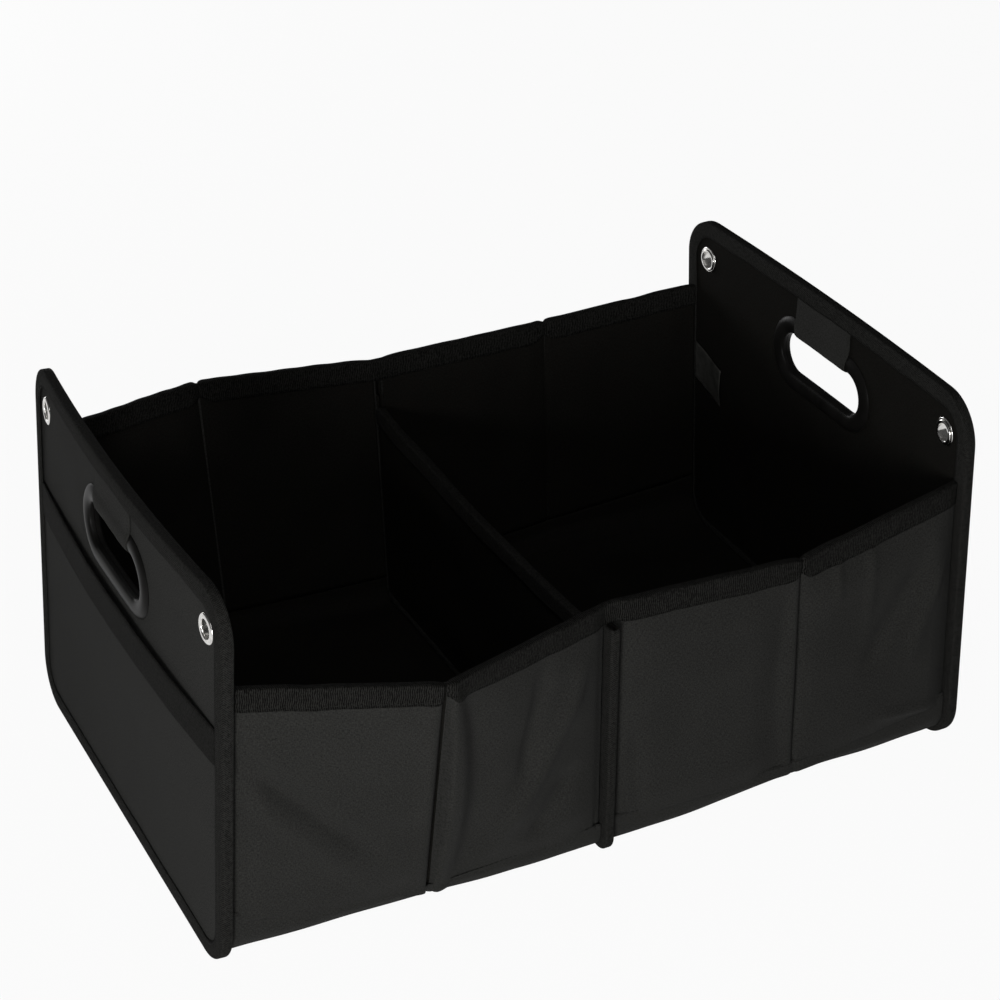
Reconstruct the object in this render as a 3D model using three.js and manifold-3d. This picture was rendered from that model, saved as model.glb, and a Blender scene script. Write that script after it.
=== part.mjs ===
// Collapsible car trunk organizer: two stiff end panels with handles, a middle
// divider, and cloth walls and base stiffened by boards. Millimetres, +Z up.
// Origin: floor level, under the middle of the divider. +X runs along the length
// to the right end, -Y faces the front wall.
import * as THREE from 'three';
import { mergeVertices } from 'three/addons/utils/BufferGeometryUtils.js';
import Module from 'manifold-3d';

const wasm = await Module();
wasm.setup();

// Overall size
const length = 550;
const depth = 370;
const height = 270;

// Sheet goods and the gap between neighbouring layers
const fabric = 0.8;
const tape = 0.9;
const panelBoard = 2.0;
const wallBoard = 2.2;
const gap = 0.3;

// End panels
const cornerRadius = 32;
const bindingWidth = 12;
const boardInset = 3;
const pocketDrop = 93;
const pocketTapeWidth = 25;

// Handles: a grip hole lined by a two-part moulded ring and wrapped with cloth
const gripWidth = 102;
const gripHeight = 32;
const gripDrop = 58;
const ringFlange = 12.5;
const ringCollar = 2;
const ringDome = 2.8;
const ringEdge = 0.8;
const wrapWidth = 70;

// Eyelets
const eyeletInset = 28;
const eyeletDrop = 30.5;
const eyeletBore = 6.25;
const eyeletBarrel = 7.15;
const eyeletFlange = 10;
const eyeletDome = 1.2;
const eyeletCurl = 8.5;
const washerThickness = 0.8;

// Gusset cloth: how far its walls and its base lie inside the panels' outline
const gussetInset = 7;
const baseInset = 3;
const topTapeWidth = 16;
const boardMargin = 6;
const baseBoardMargin = 4;

// Divider
const dividerCorner = 23;
const dividerDrop = 108;
const dividerSag = 8;
const dividerTapeWidth = 14;
const dividerSpread = 8;

// Bare label tab inside the right end
const labelLength = 42;
const labelHeight = 31;
const labelDrop = 106;
const labelDroop = 8;
const labelThickness = 0.6;

// Each half runs from an end panel to the divider. Its walls fold at a crease,
// a little off the middle. The end panel's top leans in by the lean and bows out
// by the bow. The hem lies above the fold at the panel, the crease and the divider.
const halves = {
  left: { side: -1, lean: 21.5, bow: 8, creaseShift: -5.5, hemRise: [16, 1, 5] },
  right: { side: 1, lean: 2.5, bow: 5, creaseShift: 2.5, hemRise: [16, 8, 8] },
};

// How far a wall's top lies below the end panels' top, and bulges out at the crease
const walls = {
  front: {
    facing: -1,
    dividerDrop: 72,
    left: { endDrop: 63, creaseDrop: 67, creaseBulge: 50 },
    right: { endDrop: 59, creaseDrop: 77, creaseBulge: 10 },
  },
  rear: {
    facing: 1,
    dividerDrop: 63,
    left: { endDrop: 56, creaseDrop: 60, creaseBulge: 30 },
    right: { endDrop: 58, creaseDrop: 65, creaseBulge: 10 },
  },
};
const creaseFootBulge = 8;

// Roundness of the model
const cornerSteps = 6;
const gripSteps = 8;
const eyeletSteps = 16;
const foldSteps = 4;
const bowStep = 60;
const sagSteps = 8;

// Heights and places that follow from the sizes above
const pocketTop = height - pocketDrop;
const gripCentre = height - gripDrop;
const eyeletSpread = depth / 2 - eyeletInset;
const eyeletHeight = height - eyeletDrop;
const dividerTopMiddle = height - dividerDrop;
const dividerTopEnds = dividerTopMiddle + dividerSag;
const labelTop = height - labelDrop;
const baseBoardHalfDepth = depth / 2 - cornerRadius - baseBoardMargin;

// Layers of an end panel, measured inward from the outer face of its binding
const pocketFace = tape + gap;
const coverFace = pocketFace + fabric + gap;
const panelBoardFace = coverFace + fabric + gap;
const panelLiningFace = panelBoardFace + panelBoard + gap;
const panelInnerFace = panelLiningFace + fabric;
const panelThickness = panelInnerFace + gap + tape;
const edgeInset = tape + gap;

// Layers of a wall, measured inward from its outer face
const wallCover = [0, fabric];
const wallBoardLayer = [fabric + gap, fabric + gap + wallBoard];
const wallLining = [wallBoardLayer[1] + gap, wallBoardLayer[1] + gap + fabric];
const wallThickness = wallLining[1];

// Layers of the divider, measured from its left face
const dividerLeftCover = tape + gap;
const dividerBoardFace = dividerLeftCover + fabric + gap;
const dividerRightCover = dividerBoardFace + panelBoard + gap;
const dividerThickness = dividerRightCover + fabric + gap + tape;

// Materials
const cloth = new THREE.MeshStandardMaterial({ color: 0x1a1b1c, roughness: 0.85, metalness: 0 });
const liningCloth = new THREE.MeshStandardMaterial({ color: 0x141516, roughness: 0.9, metalness: 0 });
const webbing = new THREE.MeshStandardMaterial({ color: 0x131313, roughness: 0.9, metalness: 0 });
const stiffener = new THREE.MeshStandardMaterial({ color: 0x8c7a60, roughness: 0.9, metalness: 0 });
const plastic = new THREE.MeshStandardMaterial({ color: 0x161616, roughness: 0.4, metalness: 0 });
const nickel = new THREE.MeshStandardMaterial({ color: 0xc8c8c8, roughness: 0.25, metalness: 1 });
const labelCloth = new THREE.MeshStandardMaterial({ color: 0x3a3a3a, roughness: 0.8, metalness: 0 });

const mix = (from, to, share) => from + (to - from) * share;

// Closed bodies
function signedVolume(positions, index) {
  let sum = 0;
  const a = new THREE.Vector3();
  const b = new THREE.Vector3();
  const c = new THREE.Vector3();
  for (let i = 0; i < index.length; i += 3) {
    a.fromArray(positions, index[i] * 3);
    b.fromArray(positions, index[i + 1] * 3);
    c.fromArray(positions, index[i + 2] * 3);
    sum += a.dot(b.cross(c)) / 6;
  }
  return sum;
}

function closedBody(source) {
  const bare = source.clone();
  bare.deleteAttribute('normal');
  bare.deleteAttribute('uv');
  const merged = mergeVertices(bare, 1e-4);
  const positions = merged.attributes.position.array;
  const kept = [];
  const index = merged.index.array;
  for (let i = 0; i < index.length; i += 3) {
    const [p, q, r] = [index[i], index[i + 1], index[i + 2]];
    if (p !== q && q !== r && r !== p) kept.push(p, q, r);
  }
  if (signedVolume(positions, kept) < 0) kept.reverse();
  merged.setIndex(kept);
  merged.computeVertexNormals();
  return merged;
}

function bodyFromTriangles(points, triangles) {
  const geometry = new THREE.BufferGeometry();
  geometry.setAttribute('position', new THREE.Float32BufferAttribute(points.flat(), 3));
  geometry.setIndex(triangles);
  return closedBody(geometry);
}

// Joining and cutting
function toManifold(geometry) {
  const merged = closedBody(geometry);
  merged.deleteAttribute('normal');
  const mesh = new wasm.Mesh({
    numProp: 3,
    vertProperties: new Float32Array(merged.attributes.position.array),
    triVerts: new Uint32Array(merged.index.array),
  });
  return new wasm.Manifold(mesh);
}

function fromManifold(solid) {
  const mesh = solid.getMesh();
  const geometry = new THREE.BufferGeometry();
  geometry.setAttribute('position', new THREE.Float32BufferAttribute(mesh.vertProperties, 3));
  geometry.setIndex(Array.from(mesh.triVerts));
  return closedBody(geometry);
}

function subtract(body, tool) {
  return fromManifold(toManifold(body).subtract(toManifold(tool)));
}

// Each quad is split along the diagonal that lies farther out, so that layers
// that follow the same surface stay parallel
function splitQuad(points, triangles, a, b, c, d) {
  const reach = (p, q) => Math.abs(points[p][1] + points[q][1]);
  const tolerance = 1e-4;
  if (reach(a, c) + tolerance >= reach(b, d)) {
    triangles.push(a, b, c, a, c, d);
  } else {
    triangles.push(a, b, d, b, c, d);
  }
}

// A sheet between two grids of points of the same shape
function sheet(outer, inner) {
  const rows = outer.length;
  const columns = outer[0].length;
  const points = [...outer.flat(), ...inner.flat()];
  const triangles = [];
  const near = (row, column) => row * columns + column;
  const far = (row, column) => rows * columns + near(row, column);
  const quad = (a, b, c, d) => splitQuad(points, triangles, a, b, c, d);
  for (let row = 0; row + 1 < rows; row++) {
    for (let column = 0; column + 1 < columns; column++) {
      quad(near(row, column), near(row, column + 1), near(row + 1, column + 1), near(row + 1, column));
      quad(far(row, column), far(row + 1, column), far(row + 1, column + 1), far(row, column + 1));
    }
  }
  for (let row = 0; row + 1 < rows; row++) {
    const last = columns - 1;
    quad(near(row, 0), near(row + 1, 0), far(row + 1, 0), far(row, 0));
    quad(near(row + 1, last), near(row, last), far(row, last), far(row + 1, last));
  }
  for (let column = 0; column + 1 < columns; column++) {
    const last = rows - 1;
    quad(near(0, column + 1), near(0, column), far(0, column), far(0, column + 1));
    quad(near(last, column), near(last, column + 1), far(last, column + 1), far(last, column));
  }
  return bodyFromTriangles(points, triangles);
}

// A body through a row of like sections: a ring, or a bar capped at both ends
function loft(sections, capProfile) {
  const size = sections[0].length;
  const count = sections.length;
  const points = sections.flat();
  const triangles = [];
  const spans = capProfile ? count - 1 : count;
  for (let span = 0; span < spans; span++) {
    const here = span * size;
    const next = ((span + 1) % count) * size;
    for (let i = 0; i < size; i++) {
      const j = (i + 1) % size;
      splitQuad(points, triangles, here + i, next + i, next + j, here + j);
    }
  }
  if (capProfile) {
    const faces = THREE.ShapeUtils.triangulateShape(capProfile, []);
    const counterClockwise = !THREE.ShapeUtils.isClockWise(capProfile);
    const last = (count - 1) * size;
    for (const [a, b, c] of faces) {
      if (counterClockwise) {
        triangles.push(a, b, c, last + a, last + c, last + b);
      } else {
        triangles.push(a, c, b, last + a, last + b, last + c);
      }
    }
  }
  return bodyFromTriangles(points, triangles);
}

// Flat outlines, drawn as (Y, Z)
function arc(centreY, centreZ, radius, from, to, steps) {
  const points = [];
  for (let i = 0; i <= steps; i++) {
    const angle = THREE.MathUtils.degToRad(mix(from, to, i / steps));
    points.push(new THREE.Vector2(centreY + radius * Math.cos(angle), centreZ + radius * Math.sin(angle)));
  }
  return points;
}

function panelOutline(inset) {
  const reach = depth / 2 - cornerRadius;
  const low = cornerRadius;
  const high = height - cornerRadius;
  const radius = cornerRadius - inset;
  return [
    ...arc(reach, low, radius, -90, 0, cornerSteps),
    ...arc(reach, high, radius, 0, 90, cornerSteps),
    ...arc(-reach, high, radius, 90, 180, cornerSteps),
    ...arc(-reach, low, radius, 180, 270, cornerSteps),
  ];
}

function pocketOutline(top) {
  const reach = depth / 2 - cornerRadius;
  const radius = cornerRadius - edgeInset;
  return [
    ...arc(reach, cornerRadius, radius, -90, 0, cornerSteps),
    new THREE.Vector2(depth / 2 - edgeInset, top),
    new THREE.Vector2(-depth / 2 + edgeInset, top),
    ...arc(-reach, cornerRadius, radius, 180, 270, cornerSteps),
  ];
}

function gripOutline(outset) {
  const radius = gripHeight / 2 + outset;
  const straight = (gripWidth - gripHeight) / 2;
  return [
    ...arc(straight, gripCentre, radius, -90, 90, gripSteps),
    ...arc(-straight, gripCentre, radius, 90, 270, gripSteps),
  ];
}

function eyeletHole(side, radius) {
  return arc(side * eyeletSpread, eyeletHeight, radius, 0, 360, eyeletSteps).slice(1);
}

// A flat sheet lying in the YZ plane, from one depth to another along X
const standUp = new THREE.Matrix4().makeBasis(
  new THREE.Vector3(0, 1, 0),
  new THREE.Vector3(0, 0, 1),
  new THREE.Vector3(1, 0, 0),
);

function plate(outline, from, to, holes = []) {
  const shape = new THREE.Shape(outline);
  shape.holes = holes.map((hole) => new THREE.Path(hole));
  const geometry = new THREE.ExtrudeGeometry(shape, { depth: to - from, bevelEnabled: false });
  geometry.applyMatrix4(standUp);
  geometry.translate(from, 0, 0);
  return closedBody(geometry);
}

// A bar along Y with a profile drawn as (X, Z)
const alongDepth = new THREE.Matrix4().makeBasis(
  new THREE.Vector3(1, 0, 0),
  new THREE.Vector3(0, 0, 1),
  new THREE.Vector3(0, -1, 0),
);

function bar(profile, width) {
  const shape = new THREE.Shape(profile.map(([x, z]) => new THREE.Vector2(x, z)));
  const geometry = new THREE.ExtrudeGeometry(shape, { depth: width, bevelEnabled: false });
  geometry.translate(0, 0, -width / 2);
  geometry.applyMatrix4(alongDepth);
  return closedBody(geometry);
}

function named(name, geometry, material) {
  const mesh = new THREE.Mesh(geometry, material);
  mesh.name = name;
  return mesh;
}

// Handle ring: a domed flange on each face and a collar through the panel
function gripRing(faceX, outward) {
  const middle = (coverFace + panelInnerFace) / 2;
  const seat = faceX + outward * gap;
  const section = [
    [0, seat + outward * ringDome * 0.45],
    [ringCollar * 0.75, seat + outward * ringDome * 0.92],
    [ringFlange * 0.4, seat + outward * ringDome],
    [ringFlange * 0.75, seat + outward * ringDome * 0.75],
    [ringFlange, seat + outward * ringEdge],
    [ringFlange, seat],
    [ringCollar, seat],
    [ringCollar, middle + outward * gap / 2],
    [0, middle + outward * gap / 2],
  ];
  const rims = section.map(([outset, x]) => gripOutline(outset).map((p) => [x, p.x, p.y]));
  const stations = rims[0].map((_, i) => rims.map((rim) => rim[i]));
  return loft(stations);
}

// Cloth wrapped round the grip: down over the outer flange, under the collar
// and up over the inner flange
function gripWrap() {
  const top = gripCentre + gripHeight / 2;
  const ringTop = top + ringFlange;
  const outerSeat = coverFace - gap;
  const innerSeat = panelInnerFace + gap;
  const rise = ringDome + gap;
  const edgeRise = ringEdge + gap;
  const underTape = height - bindingWidth / 2;
  const belowTape = height - bindingWidth - gap;
  const path = [
    [outerSeat, underTape],
    [outerSeat, ringTop + gap],
    [outerSeat - edgeRise, ringTop + gap],
    [outerSeat - rise, top + ringFlange * 0.7],
    [outerSeat - rise, top + ringCollar * 0.5],
    [outerSeat - rise * 0.45, top - gap],
    [innerSeat + rise * 0.45, top - gap],
    [innerSeat + rise, top + ringCollar * 0.5],
    [innerSeat + rise, top + ringFlange * 0.7],
    [innerSeat + edgeRise, ringTop + gap],
    [innerSeat, ringTop + gap],
    [innerSeat, belowTape],
  ];
  return bar(thicken(path, fabric), wrapWidth);
}

// A strip of even thickness on the right-hand side of a path
function thicken(path, thickness) {
  const normals = path.slice(1).map(([x, z], i) => {
    const [fromX, fromZ] = path[i];
    return new THREE.Vector2(z - fromZ, fromX - x).normalize();
  });
  const offset = path.map(([x, z], i) => {
    const before = normals[Math.max(i - 1, 0)];
    const after = normals[Math.min(i, normals.length - 1)];
    const bisector = before.clone().add(after).normalize();
    const reach = thickness / Math.max(bisector.dot(after), 0.5);
    return [x + bisector.x * reach, z + bisector.y * reach];
  });
  return [...path, ...offset.reverse()];
}

// Turned pieces, with their axis along X
const axisAlongX = new THREE.Matrix4().makeBasis(
  new THREE.Vector3(0, 0, 1),
  new THREE.Vector3(1, 0, 0),
  new THREE.Vector3(0, 1, 0),
);

function turned(profile, side) {
  const points = [...profile, profile[0]].map(([radius, x]) => new THREE.Vector2(radius, x));
  const geometry = new THREE.LatheGeometry(points, eyeletSteps);
  geometry.applyMatrix4(axisAlongX);
  geometry.translate(0, side * eyeletSpread, eyeletHeight);
  return closedBody(geometry);
}

function eyelet(side) {
  const seat = coverFace - gap;
  const washerBack = panelInnerFace + gap + washerThickness;
  return turned([
    [eyeletBore, seat - eyeletDome * 0.5],
    [eyeletBarrel, seat - eyeletDome],
    [eyeletFlange * 0.88, seat - eyeletDome * 0.9],
    [eyeletFlange, seat - eyeletDome * 0.35],
    [eyeletFlange, seat],
    [eyeletBarrel, seat],
    [eyeletBarrel, washerBack + gap],
    [eyeletCurl, washerBack + gap],
    [eyeletCurl * 0.9, washerBack + gap + eyeletDome * 0.6],
    [eyeletBore, washerBack + gap + eyeletDome * 0.3],
  ], side);
}

function washer(side) {
  const seat = panelInnerFace + gap;
  return turned([
    [eyeletBarrel + gap, seat],
    [eyeletFlange, seat],
    [eyeletFlange * 0.96, seat + washerThickness * 0.7],
    [eyeletFlange * 0.88, seat + washerThickness],
    [eyeletBarrel + gap, seat + washerThickness],
  ], side);
}

// Tape folded round an edge, as (inset from the edge, depth through the panel)
function foldedTape(width, thickness) {
  const bend = tape * 1.6;
  return [
    [width, 0], [bend, 0], [bend * 0.3, bend * 0.3], [0, bend],
    [0, thickness - bend], [bend * 0.3, thickness - bend * 0.3], [bend, thickness], [width, thickness],
    [width, thickness - tape], [tape, thickness - tape], [tape, tape], [width, tape],
  ];
}

// A piece of an end panel bows outward, most at the middle of the panel's top
function bowed(geometry, bow) {
  const solid = toManifold(geometry).refineToLength(bowStep).warp((point) => {
    const sideways = Math.max(0, 1 - (2 * point[1] / depth) ** 2);
    point[0] -= bow * sideways * point[2] / height;
  });
  return fromManifold(solid);
}

// One end panel, standing at x = 0 with its outer face towards -X
function endPanel(name) {
  const { bow } = halves[name];
  const panel = new THREE.Group();
  const add = (piece, geometry, material) => (
    panel.add(named(`${name}_${piece}`, bowed(geometry, bow), material))
  );
  const holes = [gripOutline(ringCollar + gap), eyeletHole(-1, eyeletBarrel + gap), eyeletHole(1, eyeletBarrel + gap)];
  const rims = foldedTape(bindingWidth, panelThickness).map(([inset, x]) => (
    panelOutline(inset).map((p) => [x, p.x, p.y])
  ));
  add('binding', loft(rims[0].map((_, i) => rims.map((rim) => rim[i]))), webbing);
  add('outer_cover', plate(panelOutline(edgeInset), coverFace, coverFace + fabric, holes), cloth);
  add('board', plate(panelOutline(boardInset), panelBoardFace, panelBoardFace + panelBoard, holes), stiffener);
  add('lining', plate(panelOutline(edgeInset), panelLiningFace, panelInnerFace, holes), liningCloth);
  add('pocket', plate(pocketOutline(pocketTop - edgeInset), pocketFace, pocketFace + fabric), cloth);
  add('pocket_tape', pocketTape(), webbing);
  add('handle_ring_outer', gripRing(coverFace, -1), plastic);
  add('handle_ring_inner', gripRing(panelInnerFace, 1), plastic);
  add('handle_wrap', gripWrap(), cloth);
  const frontSide = name === 'left' ? -1 : 1;
  add('eyelet_front', eyelet(frontSide), nickel);
  add('eyelet_rear', eyelet(-frontSide), nickel);
  add('washer_front', washer(frontSide), nickel);
  add('washer_rear', washer(-frontSide), nickel);
  return panel;
}

function pocketTape() {
  const low = pocketTop - pocketTapeWidth;
  const back = pocketFace + fabric;
  const profile = [[0, low], [tape, low], [tape, pocketTop - tape], [back, pocketTop - tape], [back, pocketTop], [0, pocketTop]];
  return bar(profile, depth - 2 * (bindingWidth + gap));
}

function labelTab() {
  const root = -(depth / 2 - bindingWidth - gap);
  const tip = root + labelLength;
  const outline = [
    new THREE.Vector2(root, labelTop),
    new THREE.Vector2(tip, labelTop - labelDroop),
    new THREE.Vector2(tip, labelTop - labelDroop - labelHeight),
    new THREE.Vector2(root, labelTop - labelHeight),
  ];
  return plate(outline, panelInnerFace + gap, panelInnerFace + gap + labelThickness);
}

// The panel tips about its inner bottom edge, so that its top leans in
function placeEnd(panel, half) {
  const tilt = new THREE.Group();
  panel.position.x = -panelThickness;
  tilt.add(panel);
  tilt.position.x = -(length / 2 - panelThickness);
  tilt.rotation.y = Math.atan(half.lean / height);
  const turn = new THREE.Group();
  turn.rotation.z = half.side > 0 ? Math.PI : 0;
  turn.add(tilt);
  return turn;
}

// Gusset surface: a station is a distance along the half from its end panel
function halfLength(half) {
  return length / 2 - panelThickness - dividerThickness / 2 - 2 * gap;
}

function creaseX(half) {
  return length / 4 + half.creaseShift;
}

function creaseStation(half) {
  return length / 2 - panelThickness - gap - creaseX(half);
}

function across(half, station, [atEnd, atCrease, atDivider]) {
  const crease = creaseStation(half);
  if (station <= crease) return mix(atEnd, atCrease, station / crease);
  return mix(atCrease, atDivider, (station - crease) / (halfLength(half) - crease));
}

function stationX(half, station, z) {
  const atEnd = length / 2 - panelThickness - gap - z * half.lean / height;
  const atDivider = dividerThickness / 2 + gap;
  return half.side * across(half, station, [atEnd, creaseX(half), atDivider]);
}

function foldRadius(half, station) {
  const atEnd = cornerRadius - gussetInset;
  const atDivider = dividerCorner - gussetInset;
  return mix(atEnd, atDivider, station / halfLength(half));
}

function wallTopAtDivider(wallName) {
  return height - walls[wallName].dividerDrop;
}

// Values at the end panel, the crease and the divider
function wallShape(half, wallName) {
  const { endDrop, creaseDrop, creaseBulge } = walls[wallName][half.side < 0 ? 'left' : 'right'];
  return {
    top: [height - endDrop, height - creaseDrop, wallTopAtDivider(wallName)],
    topBulge: [0, creaseBulge, dividerSpread],
    footBulge: [0, creaseFootBulge, 0],
  };
}

function wallPoint(half, wallName, station, z, layer) {
  const shape = wallShape(half, wallName);
  const foot = baseInset + foldRadius(half, station);
  const rise = (z - foot) / (across(half, station, shape.top) - foot);
  const bulge = mix(across(half, station, shape.footBulge), across(half, station, shape.topBulge), rise);
  const y = depth / 2 - gussetInset + bulge - layer;
  return [stationX(half, station, z), walls[wallName].facing * y, z];
}

function foldPoint(half, wallName, station, angle, layer) {
  const shape = wallShape(half, wallName);
  const radius = foldRadius(half, station);
  const centreY = depth / 2 - gussetInset + across(half, station, shape.footBulge) - radius;
  const turn = THREE.MathUtils.degToRad(angle);
  const z = baseInset + radius - (radius - layer) * Math.sin(turn);
  const y = centreY + (radius - layer) * Math.cos(turn);
  return [stationX(half, station, z), walls[wallName].facing * y, z];
}

function hemHeight(half, station) {
  return baseInset + foldRadius(half, station) + across(half, station, half.hemRise);
}

// Stations and heights that the cloth and the boards share
function boardStations(from, to) {
  const steps = 3;
  return Array.from({ length: steps + 1 }, (_, i) => mix(from, to, i / steps));
}

function endBoardStations(half) {
  return boardStations(boardMargin, creaseStation(half) - boardMargin);
}

function middleBoardStations(half) {
  return boardStations(creaseStation(half) + boardMargin, halfLength(half) - boardMargin);
}

function clothStations(half) {
  return [0, ...endBoardStations(half), creaseStation(half), ...middleBoardStations(half), halfLength(half)];
}

function boardHeights(half, wallName, station) {
  const low = hemHeight(half, station) + boardMargin;
  const high = across(half, station, wallShape(half, wallName).top) - topTapeWidth;
  return boardStations(low, high);
}

function clothHeights(half, wallName, station) {
  const top = across(half, station, wallShape(half, wallName).top) - edgeInset;
  return [hemHeight(half, station), ...boardHeights(half, wallName, station), top];
}

function wallSheet(half, wallName, stations, heightsAt, [outerLayer, innerLayer]) {
  const grid = (layer) => stations.map((station) => (
    heightsAt(half, wallName, station).map((z) => wallPoint(half, wallName, station, z, layer))
  ));
  return sheet(grid(outerLayer), grid(innerLayer));
}

function baseRow(half, station, layer) {
  const rim = hemHeight(half, station) - gap;
  const angles = Array.from({ length: foldSteps + 1 }, (_, i) => 90 * i / foldSteps);
  const front = angles.map((angle) => foldPoint(half, 'front', station, angle, layer));
  const rear = angles.map((angle) => foldPoint(half, 'rear', station, angle, layer)).reverse();
  return [
    wallPoint(half, 'front', station, rim, layer),
    ...front,
    ...rear,
    wallPoint(half, 'rear', station, rim, layer),
  ];
}

function baseSheet(half, [outerLayer, innerLayer]) {
  const stations = clothStations(half);
  const grid = (layer) => stations.map((station) => baseRow(half, station, layer));
  return sheet(grid(outerLayer), grid(innerLayer));
}

function baseBoard(half, stations) {
  const low = baseInset + wallBoardLayer[0];
  const high = baseInset + wallBoardLayer[1];
  const near = stationX(half, stations[0], low);
  const far = stationX(half, stations[stations.length - 1], low);
  const geometry = new THREE.BoxGeometry(Math.abs(far - near), 2 * baseBoardHalfDepth, high - low);
  geometry.translate((near + far) / 2, 0, (low + high) / 2);
  return closedBody(geometry);
}

function gusset(name, half) {
  const group = new THREE.Group();
  const add = (piece, geometry, material) => group.add(named(`${name}_${piece}`, geometry, material));
  const cloths = clothStations(half);
  const atEnd = endBoardStations(half);
  const atMiddle = middleBoardStations(half);
  for (const wallName of Object.keys(walls)) {
    add(`${wallName}_cover`, wallSheet(half, wallName, cloths, clothHeights, wallCover), cloth);
    add(`${wallName}_board_end`, wallSheet(half, wallName, atEnd, boardHeights, wallBoardLayer), stiffener);
    add(`${wallName}_board_middle`, wallSheet(half, wallName, atMiddle, boardHeights, wallBoardLayer), stiffener);
    add(`${wallName}_lining`, wallSheet(half, wallName, cloths, clothHeights, wallLining), liningCloth);
  }
  add('base_cover', baseSheet(half, wallCover), cloth);
  add('base_board_end', baseBoard(half, atEnd), stiffener);
  add('base_board_middle', baseBoard(half, atMiddle), stiffener);
  add('base_lining', baseSheet(half, wallLining), liningCloth);
  return group;
}

// Tape folded over the top edge of a wall, from one end panel to the other
function wallTopTape(wallName) {
  const near = -gap - tape;
  const far = wallThickness + gap + tape;
  const profile = [
    [near, -topTapeWidth], [near, -tape], [near + tape, 0], [far - tape, 0], [far, -tape],
    [far, -topTapeWidth], [far - tape, -topTapeWidth], [far - tape, -tape], [near + tape, -tape],
    [near + tape, -topTapeWidth],
  ];
  const section = (half, station) => {
    const top = across(half, station, wallShape(half, wallName).top);
    return profile.map(([layer, drop]) => wallPoint(half, wallName, station, top + drop, layer));
  };
  const { left, right } = halves;
  const sections = [
    ...clothStations(left).map((station) => section(left, station)),
    ...clothStations(right).reverse().map((station) => section(right, station)),
  ];
  return loft(sections, profile.map(([layer, drop]) => new THREE.Vector2(layer, drop)));
}

// Divider
function dividerEdge(wallName, z, inset) {
  const foot = dividerCorner;
  const rise = Math.max(0, (z - foot) / (wallTopAtDivider(wallName) - foot));
  return walls[wallName].facing * (depth / 2 + dividerSpread * rise - inset);
}

function dividerRim(inset, frontTop, rearTop) {
  const reach = depth / 2 - dividerCorner;
  const radius = dividerCorner - inset;
  return [
    new THREE.Vector2(dividerEdge('front', frontTop, inset), frontTop),
    ...arc(-reach, dividerCorner, radius, 180, 270, cornerSteps),
    ...arc(reach, dividerCorner, radius, -90, 0, cornerSteps),
    new THREE.Vector2(dividerEdge('rear', rearTop, inset), rearTop),
  ];
}

function sagLine(drop, from, to) {
  const reach = depth / 2;
  return Array.from({ length: sagSteps + 1 }, (_, i) => {
    const y = mix(from, to, i / sagSteps);
    return new THREE.Vector2(y, mix(dividerTopMiddle, dividerTopEnds, (y / reach) ** 2) - drop);
  });
}

function ribTop(wallName) {
  return wallTopAtDivider(wallName) - topTapeWidth - gap;
}

function divider() {
  const group = new THREE.Group();
  const left = -dividerThickness / 2;
  const add = (piece, geometry, material) => {
    geometry.translate(left, 0, 0);
    group.add(named(`divider_${piece}`, geometry, material));
  };
  const frontTop = ribTop('front');
  const rearTop = ribTop('rear');
  const overshoot = bindingWidth / 4;

  const profile = foldedTape(bindingWidth, dividerThickness);
  const rims = profile.map(([inset, x]) => dividerRim(inset, frontTop, rearTop).map((p) => [x, p.x, p.y]));
  const stations = rims[0].map((_, i) => rims.map((rim) => rim[i]));
  add('binding', loft(stations, profile.map(([inset, x]) => new THREE.Vector2(inset, x))), webbing);

  const tapeFoot = dividerTopMiddle - dividerTapeWidth;
  const innerFront = dividerEdge('front', tapeFoot, bindingWidth + gap);
  const innerRear = dividerEdge('rear', tapeFoot, bindingWidth + gap);
  const coverOutline = [
    ...dividerRim(edgeInset, frontTop, rearTop),
    new THREE.Vector2(dividerEdge('rear', rearTop, bindingWidth), rearTop),
    ...sagLine(edgeInset, innerRear, innerFront),
    new THREE.Vector2(dividerEdge('front', frontTop, bindingWidth), frontTop),
  ];
  add('cover_left', plate(coverOutline, dividerLeftCover, dividerLeftCover + fabric), liningCloth);
  add('cover_right', plate(coverOutline, dividerRightCover, dividerRightCover + fabric), liningCloth);

  const boardTop = dividerTopEnds - 2 * boardInset;
  const boardOutline = [
    ...dividerRim(boardInset, boardTop, boardTop),
    ...sagLine(2 * boardInset, innerRear, innerFront).slice(1, -1),
  ];
  add('board', plate(boardOutline, dividerBoardFace, dividerBoardFace + panelBoard), stiffener);

  const band = plate([
    ...sagLine(0, innerFront, innerRear),
    ...sagLine(dividerTapeWidth, innerRear, innerFront),
  ], 0, dividerThickness);
  const fold = plate([
    ...sagLine(tape, innerFront - overshoot, innerRear + overshoot),
    ...sagLine(dividerTapeWidth + overshoot, innerRear + overshoot, innerFront - overshoot),
  ], tape, dividerThickness - tape);
  add('top_tape', subtract(band, fold), webbing);
  return group;
}

// Assembly
const organizer = new THREE.Group();
organizer.name = 'trunk_organizer';
for (const [name, half] of Object.entries(halves)) {
  const panel = endPanel(name);
  if (name === 'right') panel.add(named('care_label', bowed(labelTab(), half.bow), labelCloth));
  organizer.add(placeEnd(panel, half));
  organizer.add(gusset(name, half));
}
organizer.add(divider());
organizer.add(named('front_top_tape', wallTopTape('front'), webbing));
organizer.add(named('rear_top_tape', wallTopTape('rear'), webbing));

export default organizer;
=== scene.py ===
import math

import bmesh
import bpy
import numpy as np
from mathutils import Matrix, Vector


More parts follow.
